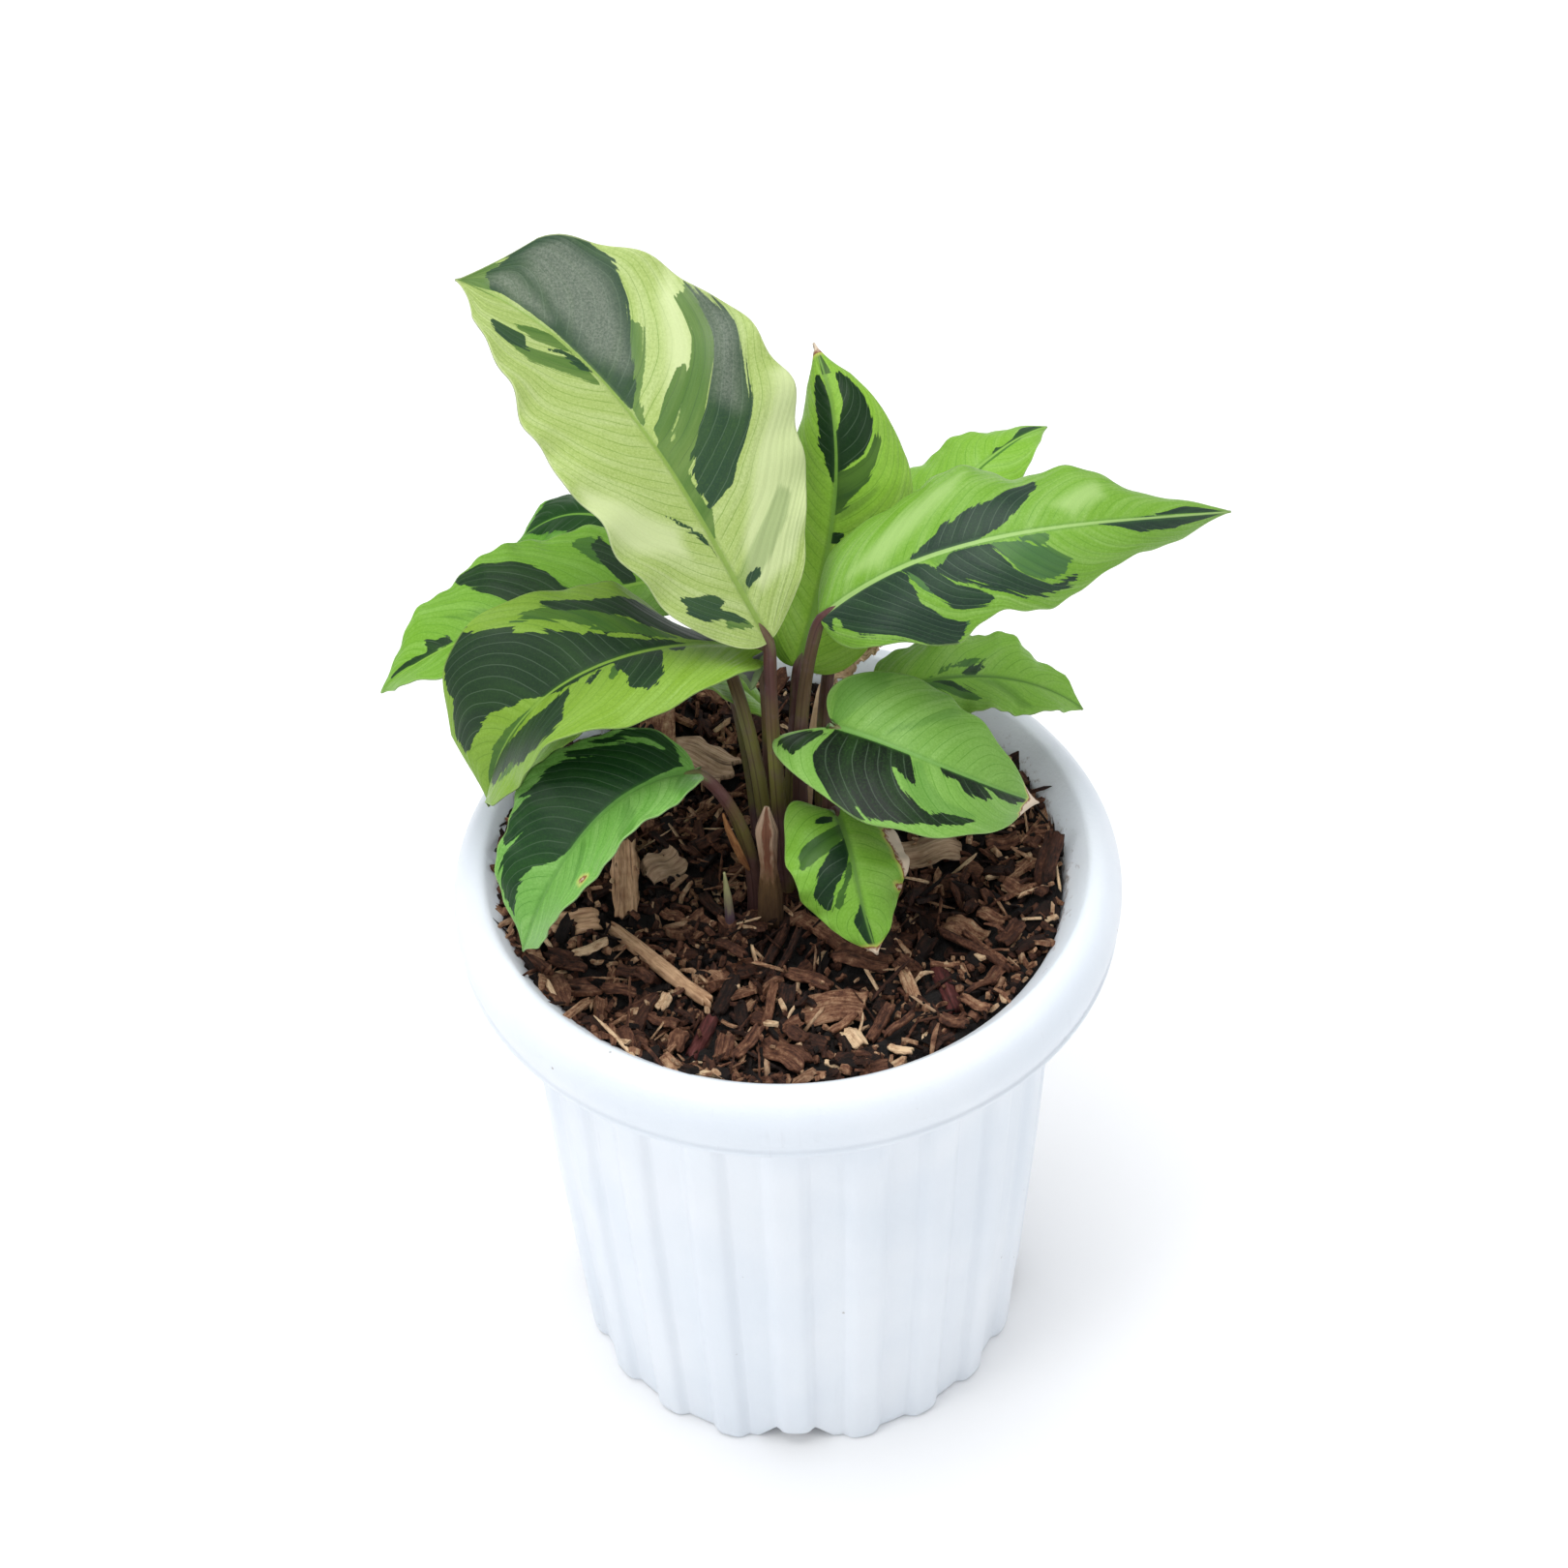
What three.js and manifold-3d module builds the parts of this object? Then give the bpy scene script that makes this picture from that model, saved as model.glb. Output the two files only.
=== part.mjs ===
// Potted calathea: a leafy plant in a white fluted pot.
// Millimetres, +Z up, origin at the centre of the pot's base.  The front of the plant faces -Y.

import * as THREE from 'three';
import { mergeVertices } from 'three/addons/utils/BufferGeometryUtils.js';
import Module from 'manifold-3d';

const wasm = await Module();
wasm.setup();

// Pot: rolled rim
const RIM_CENTRE_R = 68.5;
const RIM_CENTRE_Z = 138.7;
const RIM_HALF_WIDTH = 6.5;
const RIM_HALF_HEIGHT = 9.3;
const RIM_UNDER = [[62.6, 131], [71.9, 131.6]];
const RIM_INNER_CUT = 57;
const RIM_UNDER_Z = 131;
const RIM_INNER_Z = 141.7;
const RIM_ARC = [-25, 150];
const RIM_ARC_STEPS = 8;
const RIM_SIDES = 64;

// Pot: fluted wall and foot
const RIB_COUNT = 20;
const RIB_TURN = -93;
const RIB_HEIGHT = 1.9;
const RIB_STEPS = [[-5.2, 0], [-3.7, 0.72], [-1.6, 1], [1.6, 1], [3.7, 0.72], [5.2, 0]];
const WALL = [[0, 49.9], [1.5, 50.7], [59, 55.5], [134, 60.4]];
const INNER_WALL = [[7.5, 48.4], [9.5, 49.6], [128, 58.6], [142, 62.6], [148, 67.4], [150, 69]];
const FLOOR_Z = 7.5;
const FOOT_RECESS_R = 46.8;
const FOOT_RECESS_Z = 5;
const RECESS_SIDES = 48;
const CENTRE_PAD = { radius: 13, sides: 13 };
const NOTCH = { count: 4, turn: -3, height: 4.3, top: 9, bottom: 18, depth: 14 };
const DRAIN = { count: 6, radius: 4, ring: 28, sides: 10, length: 9 };

// Soil
const GAP = 0.35;
const SCRAP_GAP = 0.5;
const SCRAP_SIDE_GROWTH = 2.6;
const SOIL_TOP = 136.4;
const SOIL_EDGE_R = 60;
const SOIL_EDGE_RISE = 3.6;
const SOIL_RISE_BACK = 1.5;
const SOIL_CORNER_DIP = 6;
const SOIL_DISC_R = 65;
const SOIL_ROUGH = 0.9;
const SOIL_RINGS = 7;
const SOIL_SIDES = 32;
const FLAKE = {
  count: 20, length: [5, 13], width: [2.5, 5.5], thick: 1.6, ring: [16, 54], lift: 0.4, pitch: 0.8,
  roll: 0.6 };
const HOLE_BOTTOM = 127.5;
const STEM_BOTTOM = 128;

// Leaves: each row gives the midrib through four points from base to tip, the half width of
// the left and the right side, the outline (roundness of base, sharpness of tip), the angle
// each side stands up from the midrib at base and tip, how much it droops to the margin, how
// far its base lobe reaches back, and the waves of its margin (height, count, left and right
// start).  The stalk runs through its points up to the base of the blade.
const LEAVES = [
  { name: 'leaf_tall', midrib: [[-2, 7, 207], [-18, 23, 234], [-38, 45, 253], [-67, 66, 262]],
    half: [27, 33], outline: [0.75, 0.75], lift: [3, 28, 10, 35], droop: 5, lobe: [2, 1],
    wave: [1.8, 2.4, 0.33, 0.1], stalk: [[0.5, -4], [-1, 1, 154], [-2, 5, 181]], big: true },
  { name: 'leaf_upright', midrib: [[4, 23, 184], [11, 36, 204], [14, 47, 226], [10, 67, 240]],
    half: [16, 19.5], outline: [0.55, 0.85], lift: [3, -7, 12, 2], droop: 35, lobe: [2, 2.5],
    wave: [1.6, 3.2, 0, 0.6], stalk: [[0, 1], [1, 10, 148], [2.5, 18, 166]], big: true },
  { name: 'leaf_right_big', midrib: [[9, 17, 204], [36, 15, 224], [67, 20, 226], [100, 38, 212]],
    half: [23, 18], outline: [0.55, 1.05], lift: [21, 38, 11, -46], droop: 30, lobe: [4, 2],
    wave: [2.4, 3.2, 0, 0.85], stalk: [[4.5, 0.5], [3.5, 7, 153], [4.5, 13, 179]], big: true },
  { name: 'leaf_back_right', midrib: [[15, 42, 187], [32, 53, 198], [48, 67, 204], [63, 84, 199]],
    half: [14.5, 11.5], outline: [0.55, 0.9], lift: [12, 14, 12, 5], droop: 20, lobe: [2, 2],
    wave: [1.5, 3.2, 0, 0.5], stalk: [[8.5, 7], [8.5, 16, 150], [10, 29, 169]] },
  { name: 'leaf_low_right', midrib: [[20, 31, 166], [35, 28, 174], [52, 28, 173], [68, 29, 162]],
    half: [14, 11.5], outline: [0.55, 0.75], lift: [19, 18, 13, 10], droop: 13, lobe: [2.5, 2],
    wave: [1.6, 3.6, -0.1, 0.25], stalk: [[12, 4.5], [13.5, 9, 143], [17, 19, 155]] },
  { name: 'leaf_heart', midrib: [[11, 4, 184], [25, -6, 186], [41, -9, 179], [56, -1, 163]],
    half: [19, 20.5], outline: [0.8, 1.25], lift: [27, 26, 12, -8], droop: 11, lobe: [8.5, 13.5],
    wave: [1.6, 1.5, 0.1, 0.2], stalk: [[8.5, -2.5], [9, -1, 146], [10, 2, 166]], big: true },
  { name: 'leaf_front', midrib: [[11, -6, 168], [14, -18, 166], [16, -26, 159], [19, -32, 149]],
    half: [13.5, 14], outline: [0.5, 0.9], lift: [5, 10, 25, -4], droop: 24, lobe: [1.5, 7.5],
    wave: [1.6, 2.4, 0.1, 0.2], stalk: [[5.5, -6], [7, -6, 142], [9, -5, 157]] },
  { name: 'leaf_left_big', midrib: [[-4, 15, 198], [-30, 5, 207], [-53, 1, 196], [-65, -1, 168]],
    half: [21.5, 27.5], outline: [0.7, 0.65], lift: [9, 31, -25, 52], droop: 10, lobe: [2, 0],
    wave: [3, 2.3, 0.9, 0.55], stalk: [[-5, 3.5], [-3.5, 9, 152], [-3, 12.5, 177]], big: true },
  { name: 'leaf_left_low', midrib: [[-19, -5, 180], [-36, -18, 185], [-49, -27, 174], [-58, -31, 153]],
    half: [15.5, 18], outline: [0.65, 0.7], lift: [18, 29, 26, 14], droop: 0, lobe: [1, 3.5],
    wave: [1.2, 3.1, 0, 0.8], stalk: [[-8.5, -5], [-7.5, -5, 147], [-11, -4.5, 166]], big: true },
  { name: 'leaf_left_back', midrib: [[-21, 46, 192], [-44, 37, 194], [-70, 28, 191], [-89, 27, 177]],
    half: [16.5, 22], outline: [0.6, 1], lift: [17, 27, 10, 16], droop: 9, lobe: [2, 1.5],
    wave: [1.4, 3.5, 0.3, 0.55], stalk: [[-4.5, -1.5], [-4.5, 3, 155], [-9, 15, 182]], big: true },
  { name: 'leaf_back_left', midrib: [[-20, 62, 180], [-32, 64, 190], [-45, 70, 190], [-59, 70, 182]],
    half: [13, 13.5], outline: [0.55, 0.75], lift: [12, 5, 12, 15], droop: 20, lobe: [2, 2],
    wave: [2.1, 3.1, 0, 0.55], stalk: [[-6, 10], [-7, 22, 150], [-12, 42, 167]] },
  { name: 'leaf_low_left', midrib: [[-2.5, 25, 167], [-18, 25, 182.7], [-38, 24, 179.6], [-59, 19, 154.7]],
    half: [10.5, 13], outline: [0.55, 0.8], lift: [29, 12, 12, 5], droop: 14, lobe: [2, 2],
    wave: [1.7, 3, 0.25, 0.5], stalk: [[-1, 6], [-1, 13, 143], [-1.5, 20, 155]] },
  { name: 'leaf_dry', midrib: [[10, 43, 160], [14, 43, 164], [19, 45, 167], [24, 47, 168]],
    half: [5, 5], outline: [0.55, 0.8], lift: [40, 55, 35, 60], droop: 25, lobe: [0, 0],
    wave: [1.4, 3, 0, 0.5], stalk: [[4, 6], [4.5, 14, 144], [6.5, 28, 154]] },
];
const BLADE_THICKNESS = 0.8;
const SMALLEST_EDGE = 0.02;
const BLADE_END_HALF = 0.8;
const TIP_START = 0.9;
const TIP_POWER = 1.3;
const KEEL_DEPTH = 0.8;
const LOBE_SPAN = 0.08;
const STALK_BASE_R = 2;
const STALK_TOP_R = 1.5;
const STALK_STEPS = 9;
const STALK_END = { t: 0.07, share: 0.6 };
const STALK_SIDES = 6;
const HOLE_R = 2.7;
const HOLE_SIDES = 6;
const HOLE_STEPS = [-0.012, 0.14, 0.4];
const HOLE_TOP = 150;

// Bracts: dry sheath and new shoot at the foot of the plant (points, radii, flattening)
const BRACTS = [
  { name: 'dry_sheath', color: 0x9a8468, hole: 3.4, flat: 0.55,
    path: [[-4.2, -10.5, 128], [-4.2, -10.5, 137], [-4, -9.9, 146], [-4.1, -9, 154],
      [-4.3, -7.9, 164.5], [-4, -7.2, 171]],
    radii: [2.5, 2.7, 2.6, 1.7, 2.4, 0.6] },
  { name: 'new_shoot', color: 0xb7bd7e, hole: 1.9, flat: 0.9,
    path: [[-13, -11, 128], [-13, -11, 137], [-13.4, -10.2, 146], [-13.9, -9.8, 153.5]],
    radii: [1.2, 1.3, 1, 0.4] },
];

// Loose pieces on the soil: position, turn about Z, tilt, size, colour
const SCRAPS = [
  { name: 'twig_pale', at: [-29, -23.3, 138.8], turn: -49, tilt: 2, size: [36, 4, 3], color: 0xa98a63 },
  { name: 'twig_dark', at: [-20, -45.3, 138.2], turn: 66, tilt: 4, size: [13, 4, 3], color: 0x4a2323 },
  { name: 'chip_upright', at: [-36.5, 2.5, 139.5], turn: 91, tilt: 10, size: [22, 7, 1.4], color: 0xb99b72 },
  { name: 'chip_left', at: [-48, -9, 138.6], turn: 8, tilt: -6, size: [13, 8, 1.6], color: 0x8a6544 },
  { name: 'leaf_scrap', at: [-28, 7, 139.2], turn: 29, tilt: 10, size: [10, 9, 1], color: 0xb2936b },
  { name: 'litter_back', at: [-20, 39, 141.2], turn: -33, tilt: 6, size: [21, 13, 1.2], color: 0x9d8a72 },
  { name: 'litter_right', at: [32, 8, 139.8], turn: 14, tilt: -8, size: [17, 11, 1], color: 0xb79a70 },
  { name: 'stem_dark', at: [34, -33, 138.4], turn: -76, tilt: 3, size: [16, 4.5, 3], color: 0x4a2323 },
];
const SCRAP_OUTLINE = [[-0.5, -0.25], [-0.36, -0.5], [0.28, -0.44], [0.5, -0.12], [0.44, 0.36],
  [0.05, 0.5], [-0.42, 0.4]];

const COLORS = { pot: 0xe9edf3, soil: 0x3b281d, leaf: 0x5c9a34, dry: 0x8f7355 };

// Repeatable random numbers
let seedState = 7;
function random() {
  seedState = (seedState * 16807) % 2147483647;
  return seedState / 2147483647;
}

function between([low, high], share) {
  return low + (high - low) * share;
}

function toManifold(geometry) {
  const bare = geometry.clone();
  bare.deleteAttribute('normal');
  bare.deleteAttribute('uv');
  const merged = mergeVertices(bare, 1e-4);
  return new wasm.Manifold(new wasm.Mesh({
    numProp: 3,
    vertProperties: new Float32Array(merged.attributes.position.array),
    triVerts: new Uint32Array(merged.index.array),
  }));
}

function fromPoints(points, triangles) {
  const geometry = new THREE.BufferGeometry();
  geometry.setAttribute('position', new THREE.Float32BufferAttribute(points.flat(), 3));
  geometry.setIndex(triangles.flat());
  return geometry;
}

function toGeometry(solid) {
  const mesh = solid.getMesh();
  const geometry = new THREE.BufferGeometry();
  geometry.setAttribute('position', new THREE.BufferAttribute(mesh.vertProperties, 3));
  geometry.setIndex(new THREE.BufferAttribute(mesh.triVerts, 1));
  geometry.computeVertexNormals();
  return geometry;
}

// Rings of points joined into one closed body, with a flat fan at each end
function skin(rings) {
  const count = rings[0].length;
  const points = rings.flat();
  const triangles = [];
  for (let i = 0; i + 1 < rings.length; i++) {
    for (let j = 0; j < count; j++) {
      const k = (j + 1) % count;
      triangles.push([i * count + j, i * count + k, (i + 1) * count + k]);
      triangles.push([i * count + j, (i + 1) * count + k, (i + 1) * count + j]);
    }
  }
  for (const [ring, flip] of [[0, true], [rings.length - 1, false]]) {
    const centre = points.length;
    const sum = [0, 1, 2].map((axis) => rings[ring].reduce((total, p) => total + p[axis], 0) / count);
    points.push(sum);
    for (let j = 0; j < count; j++) {
      const k = (j + 1) % count;
      const [a, b] = [ring * count + j, ring * count + k];
      triangles.push(flip ? [b, a, centre] : [a, b, centre]);
    }
  }
  return toManifold(fromPoints(points, triangles));
}

function coneBody(profile, sides) {
  return skin(profile.map(([z, r]) => Array.from({ length: sides }, (_, j) => {
    const angle = (j / sides) * Math.PI * 2;
    return [r * Math.cos(angle), r * Math.sin(angle), z];
  })));
}

function lathe(profile, sides) {
  const closed = [...profile, profile[0]].map(([r, z]) => new THREE.Vector2(r, z));
  const geometry = new THREE.LatheGeometry(closed, sides);
  geometry.rotateX(Math.PI / 2);
  return toManifold(geometry);
}

function makePot() {
  const step = 360 / RIB_COUNT;
  const wall = skin(WALL.map(([z, radius]) => {
    const ring = [];
    for (let rib = 0; rib < RIB_COUNT; rib++) {
      for (const [degrees, share] of RIB_STEPS) {
        const angle = ((RIB_TURN + rib * step + degrees) * Math.PI) / 180;
        const r = radius + share * RIB_HEIGHT;
        ring.push([r * Math.cos(angle), r * Math.sin(angle), z]);
      }
    }
    return ring;
  }));
  const rimProfile = [[RIM_INNER_CUT, RIM_UNDER_Z], ...RIM_UNDER];
  for (let i = 0; i <= RIM_ARC_STEPS; i++) {
    const angle = ((RIM_ARC[0] + ((RIM_ARC[1] - RIM_ARC[0]) * i) / RIM_ARC_STEPS) * Math.PI) / 180;
    rimProfile.push([RIM_CENTRE_R + RIM_HALF_WIDTH * Math.cos(angle),
      RIM_CENTRE_Z + RIM_HALF_HEIGHT * Math.sin(angle)]);
  }
  rimProfile.push([RIM_INNER_CUT, RIM_INNER_Z]);
  const rim = lathe(rimProfile, RIM_SIDES);
  const inner = coneBody(INNER_WALL, RIM_SIDES);
  const recess = coneBody([[-1, FOOT_RECESS_R], [FOOT_RECESS_Z, FOOT_RECESS_R]], RECESS_SIDES);
  const padShape = new THREE.Shape(Array.from({ length: CENTRE_PAD.sides }, (_, i) => {
    const angle = (i / CENTRE_PAD.sides) * Math.PI * 2;
    return new THREE.Vector2(CENTRE_PAD.radius * Math.cos(angle), CENTRE_PAD.radius * Math.sin(angle));
  }));
  const pad = new THREE.ExtrudeGeometry(padShape, { depth: FLOOR_Z - 1, bevelEnabled: false });
  let pot = wall.add(rim).subtract(inner).subtract(recess).add(toManifold(pad));
  for (let i = 0; i < NOTCH.count; i++) {
    const shape = new THREE.Shape([new THREE.Vector2(-NOTCH.bottom / 2, -1),
      new THREE.Vector2(NOTCH.bottom / 2, -1), new THREE.Vector2(NOTCH.top / 2, NOTCH.height),
      new THREE.Vector2(-NOTCH.top / 2, NOTCH.height)]);
    const block = new THREE.ExtrudeGeometry(shape, { depth: NOTCH.depth, bevelEnabled: false });
    block.rotateX(Math.PI / 2);
    block.translate(0, -FOOT_RECESS_R + NOTCH.depth / 2, 0);
    block.rotateZ(((NOTCH.turn + (i * 360) / NOTCH.count) * Math.PI) / 180);
    pot = pot.subtract(toManifold(block));
  }
  for (let i = 0; i < DRAIN.count; i++) {
    const hole = new THREE.CylinderGeometry(DRAIN.radius, DRAIN.radius, DRAIN.length, DRAIN.sides);
    hole.rotateX(Math.PI / 2);
    const angle = (i / DRAIN.count) * Math.PI * 2;
    hole.translate(DRAIN.ring * Math.cos(angle), DRAIN.ring * Math.sin(angle), FLOOR_Z - 1);
    pot = pot.subtract(toManifold(hole));
  }
  return pot;
}

// Smooth curve through four evenly spaced points
function curveAt(points, t) {
  const third = 1 / 3;
  const weights = [-4.5 * (t - third) * (t - 2 * third) * (t - 1), 13.5 * t * (t - 2 * third) * (t - 1),
    -13.5 * t * (t - third) * (t - 1), 4.5 * t * (t - third) * (t - 2 * third)];
  const sum = new THREE.Vector3();
  points.forEach((p, i) => sum.addScaledVector(new THREE.Vector3(...p), weights[i]));
  return sum;
}

function curveDirection(points, t) {
  return curveAt(points, t + 1e-3).sub(curveAt(points, t - 1e-3)).normalize();
}

// Width of the blade as a share of its widest place, drawn out to a point at the tip
function widthShare(leaf, t) {
  const [base, tip] = leaf.outline;
  const peak = base / (base + tip);
  const body = Math.min(t, TIP_START);
  const share = (body ** base * (1 - body) ** tip) / (peak ** base * (1 - peak) ** tip);
  return share * ((1 - t) / (1 - body)) ** Math.max(tip, TIP_POWER);
}

// A point of the blade: t runs along the midrib, s from the left margin (-1) to the right (1)
function bladePoint(leaf, t, s) {
  const along = curveDirection(leaf.midrib, t);
  const reach = new THREE.Vector3(...leaf.midrib[3]).sub(new THREE.Vector3(...leaf.midrib[0]));
  const across = new THREE.Vector3(reach.y, -reach.x, 0);
  across.addScaledVector(along, -across.dot(along)).normalize();
  const face = new THREE.Vector3().crossVectors(across, along);
  const side = s < 0 ? 0 : 1;
  const out = Math.abs(s);
  const reachOut = out * Math.max(leaf.half[side] * widthShare(leaf, t), BLADE_END_HALF);
  const [l0, l1, r0, r1] = leaf.lift;
  const lift = side ? r0 + (r1 - r0) * t : l0 + (l1 - l0) * t;
  const angle = ((lift - leaf.droop * out) * Math.PI) / 180;
  const [height, count, startLeft, startRight] = leaf.wave;
  const ripple = height * out * out * Math.sqrt(Math.max(Math.sin(Math.PI * t), 0))
    * Math.sin(2 * Math.PI * (count * t + (side ? startRight : startLeft)));
  const back = leaf.lobe[side] * (t / LOBE_SPAN) * Math.exp(1 - t / LOBE_SPAN) * out * out;
  return curveAt(leaf.midrib, t)
    .addScaledVector(across, (side ? 1 : -1) * reachOut * Math.cos(angle))
    .addScaledVector(face, reachOut * Math.sin(angle) + ripple)
    .addScaledVector(along, -back);
}

function makeBlade(leaf) {
  const rows = leaf.big ? 12 : 9;
  const columns = leaf.big ? [-1, -0.64, -0.28, 0, 0.28, 0.64, 1] : [-1, -0.5, 0, 0.5, 1];
  const wide = columns.length;
  const upper = [];
  const lower = [];
  for (let i = 0; i <= rows; i++) {
    const t = (i / rows) ** 1.25;
    for (const s of columns) {
      const step = 0.02;
      const point = bladePoint(leaf, t, s);
      const alongDir = bladePoint(leaf, Math.min(t + step, 1), s)
        .sub(bladePoint(leaf, Math.max(t - step, 0), s));
      const acrossDir = bladePoint(leaf, t, Math.min(s + step, 1))
        .sub(bladePoint(leaf, t, Math.max(s - step, -1)));
      const normal = new THREE.Vector3().crossVectors(acrossDir, alongDir).normalize();
      const keel = s === 0 ? KEEL_DEPTH * (1 - t) : 0;
      upper.push(point.clone().addScaledVector(normal, BLADE_THICKNESS / 2).toArray());
      lower.push(point.clone().addScaledVector(normal, -BLADE_THICKNESS / 2 - keel).toArray());
    }
  }
  const total = upper.length;
  const triangles = [];
  for (let i = 0; i < rows; i++) {
    for (let j = 0; j + 1 < wide; j++) {
      const a = i * wide + j;
      const [b, c, d] = [a + 1, a + wide + 1, a + wide];
      triangles.push([a, b, c], [a, c, d]);
      triangles.push([total + a, total + c, total + b], [total + a, total + d, total + c]);
    }
    const left = i * wide;
    const right = left + wide - 1;
    triangles.push([left, left + wide, total + left + wide], [left, total + left + wide, total + left]);
    triangles.push([right, total + right + wide, right + wide], [right, total + right, total + right + wide]);
  }
  for (let j = 0; j + 1 < wide; j++) {
    const near = j;
    const far = rows * wide + j;
    triangles.push([near, total + near + 1, near + 1], [near, total + near, total + near + 1]);
    triangles.push([far, far + 1, total + far + 1], [far, total + far + 1, total + far]);
  }
  return toManifold(fromPoints([...upper, ...lower], triangles));
}

function tube(path, radii, sides, flat = 1) {
  let across = new THREE.Vector3(1, 0, 0);
  return skin(path.map((point, i) => {
    const ahead = path[Math.min(i + 1, path.length - 1)].clone();
    const along = ahead.sub(path[Math.max(i - 1, 0)]).normalize();
    across = across.clone().addScaledVector(along, -across.dot(along)).normalize();
    const other = new THREE.Vector3().crossVectors(along, across);
    return Array.from({ length: sides }, (_, j) => {
      const angle = (j / sides) * Math.PI * 2;
      return point.clone().addScaledVector(across, radii[i] * Math.cos(angle))
        .addScaledVector(other, radii[i] * flat * Math.sin(angle)).toArray();
    });
  }));
}

function stalkPoints(leaf) {
  const [foot, low, high] = leaf.stalk;
  return [[foot[0], foot[1], STEM_BOTTOM], low, high, leaf.midrib[0]];
}

function makeLeaf(leaf) {
  const points = stalkPoints(leaf);
  const path = [];
  const radii = [];
  for (let i = 0; i <= STALK_STEPS; i++) {
    path.push(curveAt(points, i / STALK_STEPS));
    radii.push(between([STALK_BASE_R, STALK_TOP_R], i / STALK_STEPS));
  }
  path.push(curveAt(leaf.midrib, STALK_END.t));
  radii.push(STALK_TOP_R * STALK_END.share);
  return tube(path, radii, STALK_SIDES).add(makeBlade(leaf)).simplify(SMALLEST_EDGE);
}

function makeScrap(scrap, grow) {
  const [length, width, thick] = scrap.size;
  const shape = new THREE.Shape(SCRAP_OUTLINE.map(([u, v]) => new THREE.Vector2(
    u * (length + grow * SCRAP_SIDE_GROWTH), v * (width + grow * SCRAP_SIDE_GROWTH))));
  const depth = thick + grow * 2;
  const block = new THREE.ExtrudeGeometry(shape, { depth, bevelEnabled: false });
  block.translate(0, 0, -depth / 2);
  block.rotateY((-scrap.tilt * Math.PI) / 180);
  block.rotateZ((scrap.turn * Math.PI) / 180);
  block.translate(...scrap.at);
  return toManifold(block);
}

function soilHeight(x, y) {
  const rough = Math.sin(x * 0.21 + 1.3) * Math.cos(y * 0.17) + 0.6 * Math.sin(x * 0.43 - y * 0.37);
  const edge = Math.hypot(x, y) / SOIL_EDGE_R;
  const cornerDip = Math.max(0, (x + y) / SOIL_EDGE_R - 0.9);
  return SOIL_TOP + SOIL_EDGE_RISE * edge ** 3 + SOIL_RISE_BACK * Math.max(y / SOIL_EDGE_R, 0)
    - SOIL_CORNER_DIP * cornerDip + SOIL_ROUGH * rough;
}

function makeSoil() {
  const circle = (r, z) => Array.from({ length: SOIL_SIDES }, (_, j) => {
    const angle = (j / SOIL_SIDES) * Math.PI * 2;
    const [x, y] = [r * Math.cos(angle), r * Math.sin(angle)];
    return [x, y, z ?? soilHeight(x, y)];
  });
  const rings = [circle(SOIL_DISC_R, FLOOR_Z)];
  for (let i = 0; i < SOIL_RINGS; i++) {
    rings.push(circle(SOIL_DISC_R * (1 - i / SOIL_RINGS)));
  }
  let soil = skin(rings);
  for (let i = 0; i < FLAKE.count; i++) {
    const r = between(FLAKE.ring, Math.sqrt(random()));
    const angle = random() * Math.PI * 2;
    const [x, y] = [r * Math.cos(angle), r * Math.sin(angle)];
    const flakeLength = between(FLAKE.length, random());
    const flakeWidth = between(FLAKE.width, random());
    const flake = new THREE.BoxGeometry(flakeLength, flakeWidth, FLAKE.thick);
    flake.rotateY((random() - 0.5) * FLAKE.pitch);
    flake.rotateX((random() - 0.5) * FLAKE.roll);
    flake.rotateZ(random() * Math.PI * 2);
    flake.translate(x, y, soilHeight(x, y) + FLAKE.lift);
    soil = soil.add(toManifold(flake));
  }
  const envelope = INNER_WALL.map(([z, r], i) => [i ? z : z + GAP, r - GAP]);
  soil = soil.intersect(coneBody(envelope, RIM_SIDES));
  for (const leaf of LEAVES) {
    const path = HOLE_STEPS.map((t) => curveAt(stalkPoints(leaf), t));
    soil = soil.subtract(tube(path, path.map(() => HOLE_R), HOLE_SIDES));
  }
  for (const bract of BRACTS) {
    const [foot, up] = bract.path.map((p) => new THREE.Vector3(...p));
    const path = [foot.clone().setZ(HOLE_BOTTOM), up.clone().setZ(HOLE_TOP)];
    soil = soil.subtract(tube(path, [bract.hole, bract.hole], HOLE_SIDES));
  }
  for (const scrap of SCRAPS) {
    soil = soil.subtract(makeScrap(scrap, SCRAP_GAP));
  }
  return soil;
}

// Keeps the largest body and leaves out specks cut loose from it
function largest(solid) {
  const parts = solid.decompose();
  return parts.reduce((best, part) => (part.volume() > best.volume() ? part : best));
}

const group = new THREE.Group();
group.name = 'potted_calathea';

function addPart(name, solid, color, roughness) {
  const mesh = new THREE.Mesh(toGeometry(solid), new THREE.MeshStandardMaterial({ color, roughness }));
  mesh.name = name;
  group.add(mesh);
}

addPart('pot', largest(makePot()), COLORS.pot, 0.5);
addPart('soil', largest(makeSoil()), COLORS.soil, 0.95);
for (const leaf of LEAVES) {
  addPart(leaf.name, largest(makeLeaf(leaf)), leaf.name === 'leaf_dry' ? COLORS.dry : COLORS.leaf, 0.5);
}
for (const bract of BRACTS) {
  const path = bract.path.map((p) => new THREE.Vector3(...p));
  addPart(bract.name, tube(path, bract.radii, 8, bract.flat), bract.color, 0.8);
}
for (const scrap of SCRAPS) {
  addPart(scrap.name, makeScrap(scrap, 0), scrap.color, 0.9);
}

export default group;
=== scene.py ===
"""Potted calathea: looks of the plant, its soil and its white fluted pot.

Lengths in the tables are millimetres, +Z up, origin at the centre of the pot's base.
"""

import math
import random

import bpy
import numpy as np
from mathutils import Matrix, Vector


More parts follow.
